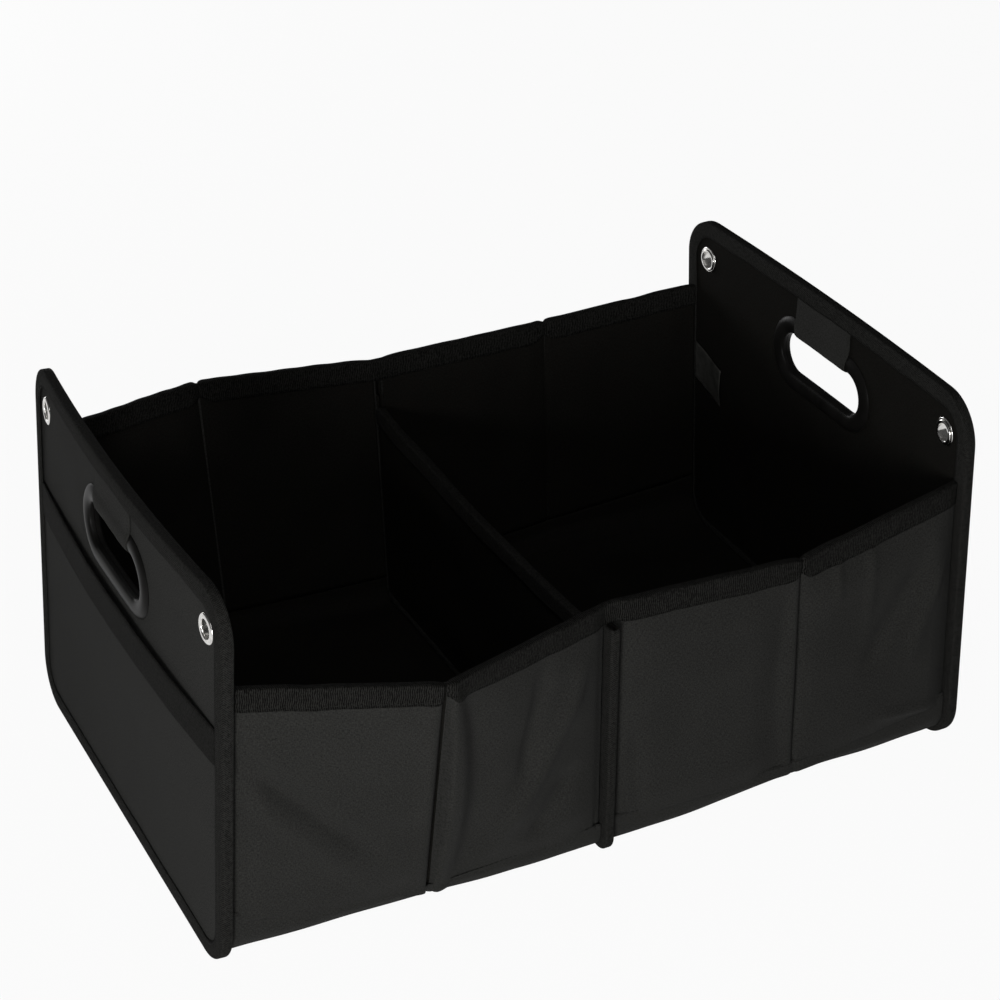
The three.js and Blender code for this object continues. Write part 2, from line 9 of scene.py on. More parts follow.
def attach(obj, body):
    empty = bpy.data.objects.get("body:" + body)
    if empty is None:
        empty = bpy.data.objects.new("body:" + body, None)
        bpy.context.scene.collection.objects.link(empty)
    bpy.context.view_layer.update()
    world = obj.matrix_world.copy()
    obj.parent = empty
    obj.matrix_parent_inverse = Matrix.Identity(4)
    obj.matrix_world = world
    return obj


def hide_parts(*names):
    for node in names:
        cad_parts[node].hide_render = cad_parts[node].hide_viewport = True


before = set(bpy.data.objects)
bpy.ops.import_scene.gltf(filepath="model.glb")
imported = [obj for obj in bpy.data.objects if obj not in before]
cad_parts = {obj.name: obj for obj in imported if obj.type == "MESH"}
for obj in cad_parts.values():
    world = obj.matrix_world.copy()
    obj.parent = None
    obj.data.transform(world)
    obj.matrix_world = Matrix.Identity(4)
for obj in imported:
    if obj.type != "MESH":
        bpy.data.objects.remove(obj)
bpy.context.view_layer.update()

# Sizes in millimetres, the same as the frame's
MM = 0.001
LENGTH, DEPTH, HEIGHT = 550.0, 370.0, 270.0
FABRIC, TAPE, PANEL_BOARD, WALL_BOARD, GAP = 0.8, 0.9, 2.0, 2.2, 0.3
CORNER, BINDING_WIDTH = 32.0, 12.0
POCKET_TOP, POCKET_TAPE_WIDTH = 177.0, 25.0
GRIP_WIDTH, GRIP_HEIGHT, GRIP_CENTRE = 102.0, 32.0, 212.0
RING_FLANGE, RING_COLLAR, RING_DOME = 12.5, 2.0, 2.8
WRAP_WIDTH = 70.0
EYELET_SPREAD, EYELET_HEIGHT = 157.0, 239.5
EYELET_BORE, EYELET_BARREL, EYELET_FLANGE = 6.25, 7.15, 10.0
EYELET_DOME, EYELET_CURL, WASHER = 1.2, 8.5, 0.8
GUSSET_INSET, BASE_INSET, TOP_TAPE_WIDTH, BOARD_MARGIN = 7.0, 3.0, 16.0, 6.0
DIVIDER_CORNER, DIVIDER_MIDDLE, DIVIDER_SAG = 23.0, 162.0, 8.0
DIVIDER_TAPE_WIDTH, DIVIDER_SPREAD = 14.0, 8.0
LABEL_LENGTH, LABEL_HEIGHT, LABEL_TOP, LABEL_DROOP, LABEL_THICKNESS = 42.0, 31.0, 164.0, 8.0, 0.6

# Layers of an end panel inward from its binding's face, and of a wall inward from its own face
EDGE_INSET = TAPE + GAP
POCKET_FACE = TAPE + GAP
COVER_FACE = POCKET_FACE + FABRIC + GAP
PANEL_LINING_FACE = COVER_FACE + FABRIC + GAP + PANEL_BOARD + GAP
PANEL_INNER_FACE = PANEL_LINING_FACE + FABRIC
PANEL_THICKNESS = PANEL_INNER_FACE + GAP + TAPE
WALL_LINING_FACE = FABRIC + GAP + WALL_BOARD + GAP
WALL_THICKNESS = WALL_LINING_FACE + FABRIC
DIVIDER_COVER = TAPE + GAP
DIVIDER_FAR_COVER = DIVIDER_COVER + FABRIC + GAP + PANEL_BOARD + GAP
DIVIDER_THICKNESS = DIVIDER_FAR_COVER + FABRIC + GAP + TAPE

# The halves, and their walls' values at the end panel, the crease and the divider
HALVES = {
    "left": {"side": -1, "lean": 21.5, "bow": 8.0, "crease": 132.0, "hem": (16.0, 1.0, 5.0)},
    "right": {"side": 1, "lean": 2.5, "bow": 5.0, "crease": 140.0, "hem": (16.0, 8.0, 8.0)},
}
FACING = {"front": -1, "rear": 1}
WALL_TOP = {
    ("front", "left"): (207.0, 203.0, 198.0),
    ("front", "right"): (211.0, 193.0, 198.0),
    ("rear", "left"): (214.0, 210.0, 207.0),
    ("rear", "right"): (212.0, 205.0, 207.0),
}
TOP_BULGE = {
    ("front", "left"): (0.0, 50.0, DIVIDER_SPREAD),
    ("front", "right"): (0.0, 10.0, DIVIDER_SPREAD),
    ("rear", "left"): (0.0, 30.0, DIVIDER_SPREAD),
    ("rear", "right"): (0.0, 10.0, DIVIDER_SPREAD),
}
FOOT_BULGE = (0.0, 8.0, 0.0)
WALL_CENTRE = (0.0, 0.0, 110.0)
WALL_SLANT = 1.05
RIB_CORNER = 14.0
HEM_OVERLAP, HEM_LAP = 0.95, 7.0
RIM_STEPS = 5
WALL_CORE = 190.0
WALL_LOW = {"cover": 28.0, "lining": 30.0}
SEAM_INSET, SEAM_RISE = 2.2, 0.05
DIVIDER_RISE, DIVIDER_PLATE_TOP, BEYOND_TOP = 175.0, 195.0, 300.0

# How far the base's edge is drawn up, by station from the end panel
BASE_LIFT = {
    "left": ((0.0, 135.0, 215.0, 263.4), (1.5, 5.5, -1.5, -2.0)),
    "right": ((0.0, 127.0, 205.0, 263.4), (1.5, 6.5, -1.0, -2.0)),
}
BASE_TUCK = {"left": 0.5, "right": 3.0}
BASE_BOARD_REACH = DEPTH / 2 - CORNER - 4.0

THREADS = "threads"


# Small mathematics
def mix(low, high, share):
    return low + (high - low) * share


def smooth(share):
    t = np.clip(share, 0.0, 1.0)
    return t * t * (3.0 - 2.0 * t)


def bell(distance, width):
    return np.exp(-((distance / width) ** 2))


def unevenness(a, b, seed, wavelength):
    """A gentle random swell over two coordinates, about one high, the same each run."""
    rng = np.random.default_rng(seed)
    count = 7
    total = 0.0
    for _ in range(count):
        turn, phase = rng.uniform(0, math.tau, 2)
        wave = wavelength * rng.uniform(0.5, 1.6)
        total = total + np.sin(math.tau * (a * math.cos(turn) + b * math.sin(turn)) / wave + phase)
    return total / math.sqrt(count)


def soft_fold(x, z, start, end, height, width, bend=0.0, fade=0.3):
    """The height of a fold along a line in a wall's plane, fading at both its ends."""
    run = (end[0] - start[0], end[1] - start[1])
    size = math.hypot(*run)
    along = ((x - start[0]) * run[0] + (z - start[1]) * run[1]) / size**2
    beside = ((x - start[0]) * run[1] - (z - start[1]) * run[0]) / size
    beside = beside - bend * 4 * along * (1 - along)
    return height * smooth(along / fade) * smooth((1 - along) / fade) * bell(beside, width)


def spaced(start, end, count, even=0.5):
    """Places from start to end, closer together towards both ends."""
    t = np.linspace(0, 1, count)
    return mix(start, end, even * t + (1 - even) * (1 - np.cos(math.pi * t)) / 2)


# Meshes from grids of points
def mesh_object(name, points, faces, threads=None, smooth_shading=True):
    """An object from points in millimetres, faces of four or three, and a thread coordinate per corner."""
    mesh = bpy.data.meshes.new(name)
    mesh.from_pydata((np.asarray(points) * MM).tolist(), [], [list(map(int, f)) for f in faces])
    if threads is not None:
        layer = mesh.uv_layers.new(name=THREADS)
        layer.data.foreach_set("uv", np.asarray(threads, np.float32).ravel())
    mesh.polygons.foreach_set("use_smooth", [smooth_shading] * len(mesh.polygons))
    mesh.update()
    obj = bpy.data.objects.new(name, mesh)
    bpy.context.scene.collection.objects.link(obj)
    return obj


def grid_object(name, grid, threads, away_from=None, towards=None, around=False):
    """A sheet over a grid of points. Its normals point away from a point or towards it."""
    grid = np.asarray(grid, float)
    rows, columns = grid.shape[:2]
    across = columns if around else columns - 1
    r, c = np.meshgrid(np.arange(rows - 1), np.arange(across), indexing="ij")
    r, c = r.ravel(), c.ravel()
    nxt = (c + 1) % columns
    faces = np.stack([r * columns + c, r * columns + nxt, (r + 1) * columns + nxt, (r + 1) * columns + c], 1)
    corner = np.stack([
        threads[r, c], threads[r, c + 1], threads[r + 1, c + 1], threads[r + 1, c],
    ], 1)
    points = grid.reshape(-1, 3)
    a, b, d = points[faces[:, 0]], points[faces[:, 1]], points[faces[:, 3]]
    normals = np.cross(b - a, d - a)
    centre = np.asarray(away_from if towards is None else towards, float)
    outward = ((a - centre) * normals).sum()
    if (outward < 0) == (towards is None):
        faces, corner = faces[:, ::-1], corner[:, ::-1]
    return mesh_object(name, points, faces, corner.reshape(-1, 2))


def thread_grid(along, over):
    """Thread coordinates in millimetres, along one direction and over in the other."""
    return np.stack(np.broadcast_arrays(along, over), -1)


def arc_lengths(points):
    """The running length along the last but one axis of a line or grid of points."""
    steps = np.linalg.norm(np.diff(points, axis=-2), axis=-1)
    start = np.zeros(steps.shape[:-1] + (1,))
    return np.concatenate([start, np.cumsum(steps, axis=-1)], -1)


def grid_threads(grid, closing=False):
    """Thread coordinates that follow a grid's own sides."""
    grid = np.asarray(grid, float)
    if closing:
        grid = np.concatenate([grid, grid[:, :1]], 1)
    along = arc_lengths(grid)
    over = np.swapaxes(arc_lengths(np.swapaxes(grid, 0, 1)), 0, 1)
    return thread_grid(along[along.shape[0] // 2], over)


def profile_run(profile):
    """The running length along a profile of distances and depths."""
    return arc_lengths(np.array([[distance, depth, 0.0] for distance, depth in profile]))


def thicken(obj, thickness):
    """Gives a sheet its thickness, on the side away from its normals."""
    solid = obj.modifiers.new("thickness", "SOLIDIFY")
    solid.thickness = thickness * MM
    solid.offset = -1


def settle(obj, nodes, material):
    """The piece rides on the body, stands for its solids and takes its finish."""
    obj.data.materials.append(material)
    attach(obj, "root")
    if nodes:
        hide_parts(*nodes)


def sheet(obj, node, slot, material, thickness, **facts):
    """A sheet of cloth or tape: its thickness and its finish."""
    thicken(obj, thickness)
    settle(obj, [node], material)


# Procedural materials
def add_node(tree, kind, inputs=None, **settings):
    """A shader node with its settings, and a value or another node's output on each of its inputs."""
    made = tree.nodes.new(f"ShaderNode{kind}")
    for key, value in settings.items():
        setattr(made, key, value)
    for key, value in (inputs or {}).items():
        if isinstance(value, bpy.types.NodeSocket):
            tree.links.new(value, made.inputs[key])
        else:
            made.inputs[key].default_value = value
    return made


class Finish:
    """A material with a Principled shader and helpers for its nodes."""

    def __init__(self, name, roughness, specular=0.5, metallic=0.0):
        self.material = bpy.data.materials.new(name)
        self.material.use_nodes = True
        self.tree = self.material.node_tree
        self.shader = self.tree.nodes["Principled BSDF"]
        self.shader.inputs["Roughness"].default_value = roughness
        self.shader.inputs["Specular IOR Level"].default_value = specular
        self.shader.inputs["Metallic"].default_value = metallic

    def node(self, kind, inputs=None, **settings):
        return add_node(self.tree, kind, inputs, **settings)

    def calc(self, operation, a, b=0.0):
        return self.node("Math", {0: a, 1: b}, operation=operation).outputs[0]

    def blend(self, a, share_a, b, share_b):
        """The sum of two heights or shades, each with its share."""
        return self.calc("ADD", self.calc("MULTIPLY", a, share_a), self.calc("MULTIPLY", b, share_b))

    def threads(self):
        place = self.node("UVMap", uv_map=THREADS).outputs["UV"]
        split = self.node("SeparateXYZ", {0: place})
        return split.outputs["X"], split.outputs["Y"]

    def wave(self, coordinate, pitch):
        return self.calc("SINE", self.calc("MULTIPLY", coordinate, math.tau / pitch))

    def noise(self, scale, detail=3.0, stretch=(1.0, 1.0, 1.0)):
        place = self.node("TexCoord").outputs["Object"]
        stretched = self.node("Mapping", {"Vector": place, "Scale": stretch}).outputs["Vector"]
        return self.node("TexNoise", {"Vector": stretched, "Scale": scale, "Detail": detail}).outputs["Fac"]

    def slubs(self, along, over, length, width):
        """Noise drawn out along one direction of the threads, sizes in millimetres."""
        shares = {"X": self.calc("DIVIDE", along, length), "Y": self.calc("DIVIDE", over, width)}
        place = self.node("CombineXYZ", shares).outputs[0]
        return self.node("TexNoise", {"Vector": place, "Scale": 1.0, "Detail": 1.5}).outputs["Fac"]

    def colour_between(self, share, dark, light, low=0.35, high=0.65):
        ramp = self.node("ValToRGB", {"Fac": share})
        for element, place, colour in zip(ramp.color_ramp.elements, (low, high), (dark, light)):
            element.position = place
            element.color = (*colour, 1.0)
        self.tree.links.new(ramp.outputs["Color"], self.shader.inputs["Base Color"])

    def bump(self, height, distance, strength=1.0):
        raised = {"Strength": strength, "Distance": distance * MM, "Height": height}
        self.tree.links.new(self.node("Bump", raised).outputs["Normal"], self.shader.inputs["Normal"])


def woven(name, dark, light, pitch, roughness, specular, depth, sheen):
    """Plain weave: threads over and under in both directions, with slubs along each of them."""
    finish = Finish(name, roughness, specular)
    finish.shader.inputs["Sheen Weight"].default_value = sheen
    finish.shader.inputs["Sheen Roughness"].default_value = 0.5
    along, over = finish.threads()
    cross = finish.calc("MULTIPLY", finish.wave(along, pitch), finish.wave(over, pitch))
    warp = finish.slubs(along, over, 1.7, 0.55)
    weft = finish.slubs(along, over, 0.55, 1.7)
    slub = finish.blend(warp, 0.5, weft, 0.5)
    grain = finish.blend(cross, 0.06, slub, 0.92)
    shade = finish.blend(grain, 1.0, finish.noise(30.0, 3.0), 0.08)
    finish.colour_between(shade, dark, light, 0.38, 0.62)
    height = finish.calc("ADD", cross, finish.calc("MULTIPLY", slub, 2.0))
    finish.bump(height, depth)
    return finish.material


def ribbed(name, dark, light, rib, roughness, depth, slant):
    """Narrow woven tape with crosswise ribs that lean one way on one half and back on the other."""
    finish = Finish(name, roughness, 0.04)
    along, over = finish.threads()
    halved = finish.calc("PINGPONG", over, 4.0)
    leaning = finish.calc("ADD", along, finish.calc("MULTIPLY", halved, slant))
    ribs = finish.wave(leaning, rib)
    fine = finish.wave(over, rib * 0.6)
    slub = finish.noise(700.0, 2.0)
    pattern = finish.calc("ADD", ribs, finish.calc("MULTIPLY", fine, 0.35))
    shade = finish.calc("ADD", finish.calc("MULTIPLY", pattern, 0.2), slub)
    finish.colour_between(shade, dark, light, 0.28, 0.72)
    height = finish.calc("ADD", pattern, finish.calc("MULTIPLY", slub, 1.2))
    finish.bump(height, depth)
    return finish.material


def moulded_plastic():
    finish = Finish("moulded_plastic", 0.38, 0.05)
    grain = finish.noise(2200.0, 2.0)
    cloud = finish.noise(60.0, 3.0)
    finish.colour_between(cloud, (0.0050, 0.0048, 0.0045), (0.0080, 0.0077, 0.0073))
    finish.bump(grain, 0.03, 0.6)
    return finish.material


def nickel_plate():
    finish = Finish("nickel_plate", 0.2, 0.5, 1.0)
    cloud = finish.noise(300.0, 3.0)
    finish.colour_between(cloud, (0.60, 0.59, 0.57), (0.72, 0.71, 0.69))
    brushed = finish.noise(4000.0, 1.0)
    finish.bump(brushed, 0.006, 0.4)
    return finish.material


def stiffening_board():
    finish = Finish("stiffening_board", 0.9, 0.2)
    fibre = finish.noise(500.0, 4.0, (1.0, 1.0, 0.2))
    finish.colour_between(fibre, (0.22, 0.18, 0.13), (0.33, 0.28, 0.21))
    finish.bump(fibre, 0.1, 0.5)
    return finish.material


def satin_label():
    finish = Finish("satin_label", 0.5, 0.2)
    along, over = finish.threads()
    lines = finish.wave(over, 0.7)
    cloud = finish.noise(120.0, 3.0)
    shade = finish.calc("ADD", finish.calc("MULTIPLY", lines, 0.08), cloud)
    finish.colour_between(shade, (0.021, 0.021, 0.019), (0.044, 0.0435, 0.040))
    finish.bump(lines, 0.03, 0.5)
    return finish.material


def sewing_thread():
    finish = Finish("sewing_thread", 0.7, 0.06)
    twist = finish.noise(1500.0, 2.0)
    finish.colour_between(twist, (0.007, 0.007, 0.0066), (0.019, 0.019, 0.018))
    finish.bump(twist, 0.05, 0.5)
    return finish.material


CLOTH = woven("outer_cloth", (0.0122, 0.0122, 0.0114), (0.0315, 0.0315, 0.0292), 0.9, 0.85, 0.04, 0.10, 0.02)
LINING = woven("lining_cloth", (0.0046, 0.0044, 0.0038), (0.0112, 0.0106, 0.0092), 0.7, 0.85, 0.03, 0.06, 0.0)
TAPE_CROSS = ribbed("ribbed_tape", (0.0016, 0.0016, 0.0014), (0.0235, 0.0232, 0.0214), 1.35, 0.8, 0.28, 0.15)
TAPE_TWILL = ribbed("twill_binding", (0.0050, 0.0050, 0.0046), (0.0290, 0.0288, 0.0268), 1.6, 0.85, 0.2, 1.0)
PLASTIC = moulded_plastic()
NICKEL = nickel_plate()
BOARD = stiffening_board()
LABEL = satin_label()
THREAD = sewing_thread()
LOOKS = {"cover": ("cloth", CLOTH), "lining": ("lining", LINING)}


# Stitches
STITCH_SIDES, STITCH_RINGS = 6, 4


def stitch_shape():
    """One stitch lying along X: points on a unit ellipsoid, and its faces."""
    points, faces = [(-1.0, 0.0, 0.0)], []
    for ring in range(1, STITCH_RINGS):
        turn = math.pi * ring / STITCH_RINGS
        for side in range(STITCH_SIDES):
            spin = math.tau * side / STITCH_SIDES
            points.append((-math.cos(turn), math.sin(turn) * math.cos(spin), math.sin(turn) * math.sin(spin)))
    points.append((1.0, 0.0, 0.0))
    last = len(points) - 1
    for side in range(STITCH_SIDES):
        nxt = (side + 1) % STITCH_SIDES
        faces.append((0, 1 + nxt, 1 + side))
        for ring in range(STITCH_RINGS - 2):
            here = 1 + ring * STITCH_SIDES
            there = here + STITCH_SIDES
            faces.append((here + side, here + nxt, there + nxt, there + side))
        end = last - STITCH_SIDES
        faces.append((end + side, end + nxt, last))
    return np.array(points), faces


STITCH_POINTS, STITCH_FACES = stitch_shape()


def stitches_along(line, normals, pitch=3.6, long=2.7, thick=0.62, sunk=0.05):
    """Points and faces of a row of stitches on a line of points with normals."""
    line, normals = np.asarray(line, float), np.asarray(normals, float)
    run = arc_lengths(line)
    count = max(int(run[-1] / pitch), 1)
    places = (np.arange(count) + 0.5) * run[-1] / count
    centre = np.stack([np.interp(places, run, line[:, i]) for i in range(3)], 1)
    ahead = np.stack([np.interp(places + 0.5, run, line[:, i]) for i in range(3)], 1)
    behind = np.stack([np.interp(places - 0.5, run, line[:, i]) for i in range(3)], 1)
    tangent = ahead - behind
    tangent /= np.linalg.norm(tangent, axis=1, keepdims=True)
    up = np.stack([np.interp(places, run, normals[:, i]) for i in range(3)], 1)
    up -= tangent * (up * tangent).sum(1, keepdims=True)
    up /= np.linalg.norm(up, axis=1, keepdims=True)
    wide = np.cross(up, tangent)
    shape = STITCH_POINTS * np.array([long / 2, thick / 2, thick / 2])
    points = (
        (centre - up * sunk)[:, None, :]
        + tangent[:, None, :] * shape[None, :, 0:1]
        + wide[:, None, :] * shape[None, :, 1:2]
        + up[:, None, :] * shape[None, :, 2:3]
    )
    faces = [
        tuple(i * len(STITCH_POINTS) + k for k in face)
        for i in range(count)
        for face in STITCH_FACES
    ]
    return points.reshape(-1, 3), faces


def stitching(name, runs):
    """One piece of sewing thread out of several rows of stitches."""
    points, faces, used = [], [], 0
    for line, normals in runs:
        found, made = stitches_along(line, normals)
        points.append(found)
        faces += [tuple(k + used for k in face) for face in made]
        used += len(found)
    settle(mesh_object(name, np.concatenate(points), faces), [], THREAD)


# End panels, built flat: depth through the panel, place across it, height
def place_end(name, points):
    """Moves points from a panel's own frame into the object's."""
    half = HALVES[name]
    points = np.asarray(points, float)
    tilt = math.atan(half["lean"] / HEIGHT)
    y, z = points[..., 1], points[..., 2]
    bow = half["bow"] * np.maximum(1 - (2 * y / DEPTH) ** 2, 0.0) * z / HEIGHT
    w = points[..., 0] - PANEL_THICKNESS - bow
    x = w * math.cos(tilt) + z * math.sin(tilt) - (LENGTH / 2 - PANEL_THICKNESS)
    up = -w * math.sin(tilt) + z * math.cos(tilt)
    if half["side"] > 0:
        x, y = -x, -y
    return np.stack([x, y, up], -1)


def at_depth(path, depth):
    """A path of places and heights on a panel, with one depth for all of it."""
    return np.concatenate([np.full((len(path), 1), depth), path], 1)


def rounded_distance(y, z, half_width, low, high, radius):
    """Signed distance to a rounded rectangle, negative inside."""
    dy = np.abs(y) - (half_width - radius)
    dz = np.abs(z - (low + high) / 2) - ((high - low) / 2 - radius)
    outside = np.hypot(np.maximum(dy, 0), np.maximum(dz, 0))
    return outside + np.minimum(np.maximum(dy, dz), 0) - radius


def panel_distance(y, z, inset=EDGE_INSET):
    return rounded_distance(y, z, DEPTH / 2 - inset, inset, HEIGHT - inset, CORNER - inset)


def grip_distance(y, z, outset):
    radius = GRIP_HEIGHT / 2 + outset
    low, high = GRIP_CENTRE - radius, GRIP_CENTRE + radius
    return rounded_distance(y, z, GRIP_WIDTH / 2 + outset, low, high, radius)


def eyelet_distance(side):
    return lambda y, z: np.hypot(y - side * EYELET_SPREAD, z - EYELET_HEIGHT) - (EYELET_BARREL + GAP)


def fitted_plate(half_width, low, high, step, inside, holes=()):
    """A grid of cells within an outline and clear of its holes, with its edge points drawn onto the edges."""
    ys = np.linspace(-half_width, half_width, int(2 * half_width / step) + 1)
    zs = np.linspace(low, high, int((high - low) / step) + 1)
    y, z = np.meshgrid(ys, zs, indexing="ij")
    edges = [inside] + [lambda a, b, hole=hole: -hole(a, b) for hole in holes]
    middle_y, middle_z = (y[1:, 1:] + y[:-1, :-1]) / 2, (z[1:, 1:] + z[:-1, :-1]) / 2
    kept = np.all([edge(middle_y, middle_z) < 0 for edge in edges], axis=0)
    touched, dropped = np.zeros(y.shape, bool), np.zeros(y.shape, bool)
    for a, b in ((0, 0), (0, 1), (1, 0), (1, 1)):
        window = (slice(a, a + kept.shape[0]), slice(b, b + kept.shape[1]))
        touched[window] |= kept
        dropped[window] |= ~kept
    border = np.zeros(y.shape, bool)
    border[[0, -1], :] = True
    border[:, [0, -1]] = True
    rim = touched & (dropped | border)
    for edge in edges:
        distance = edge(y, z)
        tiny = 0.01
        slope_y = (edge(y + tiny, z) - edge(y - tiny, z)) / (2 * tiny)
        slope_z = (edge(y, z + tiny) - edge(y, z - tiny)) / (2 * tiny)
        pull = rim & (np.abs(distance) < step)
        y = np.where(pull, y - distance * slope_y, y)
        z = np.where(pull, z - distance * slope_z, z)
    number = np.full(y.shape, -1)
    number[touched] = np.arange(touched.sum())
    i, j = np.nonzero(kept)
    faces = np.stack([number[i, j], number[i + 1, j], number[i + 1, j + 1], number[i, j + 1]], 1)
    return y[touched], z[touched], faces


def plate_object(name, points, y, z, faces, way):
    """A flat piece whose faces look one way along X, with threads across and up."""
    a, b, c = (points[faces[:, k]] for k in (0, 1, 2))
    if (np.cross(b - a, c - a).sum(0)[0] > 0) != (way > 0):
        faces = faces[:, ::-1]
    return mesh_object(name, points, faces, np.stack([y, z], -1)[faces].reshape(-1, 2))


def panel_plate(name, end, y, z, depth, faces, outward):
    """A plate of a panel, given its depth at each point, facing out of the organizer or into it."""
    points = place_end(end, np.stack([depth, y, z], -1))
    return plate_object(name, points, y, z, faces, HALVES[end]["side"] * outward)


PANEL_STEP = 4.0
GRIP_HOLE = RING_COLLAR + GAP
PANEL_HOLES = (
    lambda y, z: grip_distance(y, z, GRIP_HOLE),
    eyelet_distance(-1),
    eyelet_distance(1),
)
PANEL_AREA = (DEPTH - 2 * EDGE_INSET) * (HEIGHT - 2 * EDGE_INSET) * MM * MM
PANEL_FLAT = ((DEPTH - 2 * EDGE_INSET) * MM, (HEIGHT - 2 * EDGE_INSET) * MM)


def panel_relief(y, z, seed):
    """How far the cloth of a panel lies off its flat face: gentle, and none at its edges and holes."""
    clear = smooth(-panel_distance(y, z, BINDING_WIDTH) / 25.0)
    ring = smooth((grip_distance(y, z, RING_FLANGE) - 1.0) / 18.0)
    return 0.5 * clear * ring * (1.0 + unevenness(y, z, seed, 80.0))


def panel_cloth(end, face, seed):
    """The cloth on a panel's outer or inner face, both with the grip and eyelet holes."""
    y, z, faces = fitted_plate(
        DEPTH / 2 - EDGE_INSET, EDGE_INSET, HEIGHT - EDGE_INSET, PANEL_STEP, panel_distance, PANEL_HOLES)
    relief = panel_relief(y, z, seed)
    if face == "outer":
        above_pocket = smooth((z - POCKET_TOP - 4.0) / 12.0)
        obj = panel_plate(f"{end}_outer_cloth", end, y, z, COVER_FACE - relief * above_pocket, faces, 1)
        node, look = f"{end}_outer_cover", LOOKS["cover"]
    else:
        obj = panel_plate(f"{end}_lining_cloth", end, y, z, PANEL_INNER_FACE + relief, faces, -1)
        node, look = f"{end}_lining", LOOKS["lining"]
    sheet(obj, node, *look, FABRIC, flat=PANEL_FLAT, held="stretched",
          rests_on=[f"{end}_board"], area=0.93 * PANEL_AREA)


POCKET_SLACK = 3.2


def pocket_slack(y, z):
    """How far the pocket stands off the panel: most at the middle of its mouth."""
    sideways = 1 - (np.abs(y) / (DEPTH / 2 - BINDING_WIDTH)) ** 2
    upward = smooth((z - 30.0) / (POCKET_TOP - 30.0))
    swell = 0.25 * unevenness(y, z, 31, 90.0)
    return np.maximum(sideways, 0) ** 0.8 * (POCKET_SLACK * upward**1.5 + 0.4 * upward + swell * upward)


def pocket(end):
    top = POCKET_TOP - TAPE
    y, z, faces = fitted_plate(
        DEPTH / 2 - EDGE_INSET, EDGE_INSET, top, PANEL_STEP,
        lambda a, b: np.maximum(panel_distance(a, b), b - top))
    depth = POCKET_FACE - pocket_slack(y, z)
    obj = panel_plate(f"{end}_pocket_cloth", end, y, z, depth, faces, 1)
    flat = (PANEL_FLAT[0], POCKET_TOP * MM)
    sheet(obj, f"{end}_pocket", "cloth", CLOTH, FABRIC, flat=flat, held="hung",
          rests_on=[f"{end}_binding_tape"], area=0.97 * flat[0] * flat[1])


def folded_profile(width, thickness, bend=1.5, steps=5, bulge=0.25):
    """Tape folded round an edge, as pairs of the distance in from the edge and the depth across it."""
    profile = []
    flank = np.linspace(width, bend, 5)
    profile += [(d, -bulge * math.sin(math.pi * (width - d) / (width - bend))) for d in flank]
    for k in range(1, steps + 1):
        turn = math.pi / 2 * k / steps
        profile.append((bend - bend * math.sin(turn), bend - bend * math.cos(turn)))
    mirrored = [(d, thickness - w) for d, w in reversed(profile)]
    return profile + mirrored


def panel_path(inset, corner_steps=14, straight_steps=40):
    """Points round a panel's outline at an inset, the same count for every inset."""
    reach, low, high = DEPTH / 2 - CORNER, CORNER, HEIGHT - CORNER
    radius = CORNER - inset
    centres = ((reach, low, -90), (reach, high, 0), (-reach, high, 90), (-reach, low, 180))
    path = []
    for index, (y, z, start) in enumerate(centres):
        for k in range(corner_steps + 1):
            turn = math.radians(start + 90 * k / corner_steps)
            path.append((y + radius * math.cos(turn), z + radius * math.sin(turn)))
        ny, nz, nstart = centres[(index + 1) % 4]
        begin = path[-1]
        turn = math.radians(nstart)
        finish = (ny + radius * math.cos(turn), nz + radius * math.sin(turn))
        for k in range(1, straight_steps):
            share = k / straight_steps
            path.append((mix(begin[0], finish[0], share), mix(begin[1], finish[1], share)))
    return np.array(path)


def panel_binding(end):
    profile = folded_profile(BINDING_WIDTH, PANEL_THICKNESS)
    base = panel_path(0.0)
    run = arc_lengths(np.concatenate([base, base[:1]]))
    waver = 0.35 * unevenness(run[:-1], 0.0 * run[:-1], 17 + len(end), 60.0)
    rows = []
    for inset, depth in profile:
        edge = inset / BINDING_WIDTH
        path = panel_path(inset)
        outward = base - path
        size = np.linalg.norm(outward, axis=1, keepdims=True)
        outward = outward / np.where(size > 0, size, 1.0)
        path = path - outward * (waver * edge)[:, None]
        rows.append(at_depth(path, depth))
    grid = place_end(end, np.array(rows))
    over = profile_run(profile)
    middle = place_end(end, np.array([PANEL_THICKNESS / 2, 0.0, HEIGHT / 2]))
    threads = thread_grid(run, over[:, None])
    obj = grid_object(f"{end}_binding_tape", grid, threads, away_from=middle, around=True)
    sheet(obj, f"{end}_binding", "webbing", TAPE_TWILL, TAPE,
          flat=(over[-1] * MM, run[-1] * MM), held="folded", rests_on=[f"{end}_board"])


def panel_seams(end):
    """Stitches along the binding on both faces and along the pocket's tape."""
    runs = []
    path = panel_path(BINDING_WIDTH - SEAM_INSET)
    path = np.concatenate([path, path[:1]])
    for depth, way in ((-SEAM_RISE, -1.0), (PANEL_THICKNESS + SEAM_RISE, 1.0)):
        line = place_end(end, at_depth(path, depth))
        ahead = place_end(end, at_depth(path, depth + way))
        runs.append((line, ahead - line))
    y = np.linspace(-(DEPTH / 2 - BINDING_WIDTH), DEPTH / 2 - BINDING_WIDTH, 90)
    for drop in (SEAM_INSET, POCKET_TAPE_WIDTH - SEAM_INSET):
        z = np.full_like(y, POCKET_TOP - drop)
        depth = pocket_tape_depth(y, z)
        line = place_end(end, np.stack([depth, y, z], 1))
        ahead = place_end(end, np.stack([depth - 1.0, y, z], 1))
        runs.append((line, ahead - line))
    stitching(f"{end}_panel_stitching", runs)


def pocket_tape_depth(y, z):
    return POCKET_FACE - TAPE - 0.1 - pocket_slack(y, np.minimum(z, POCKET_TOP))


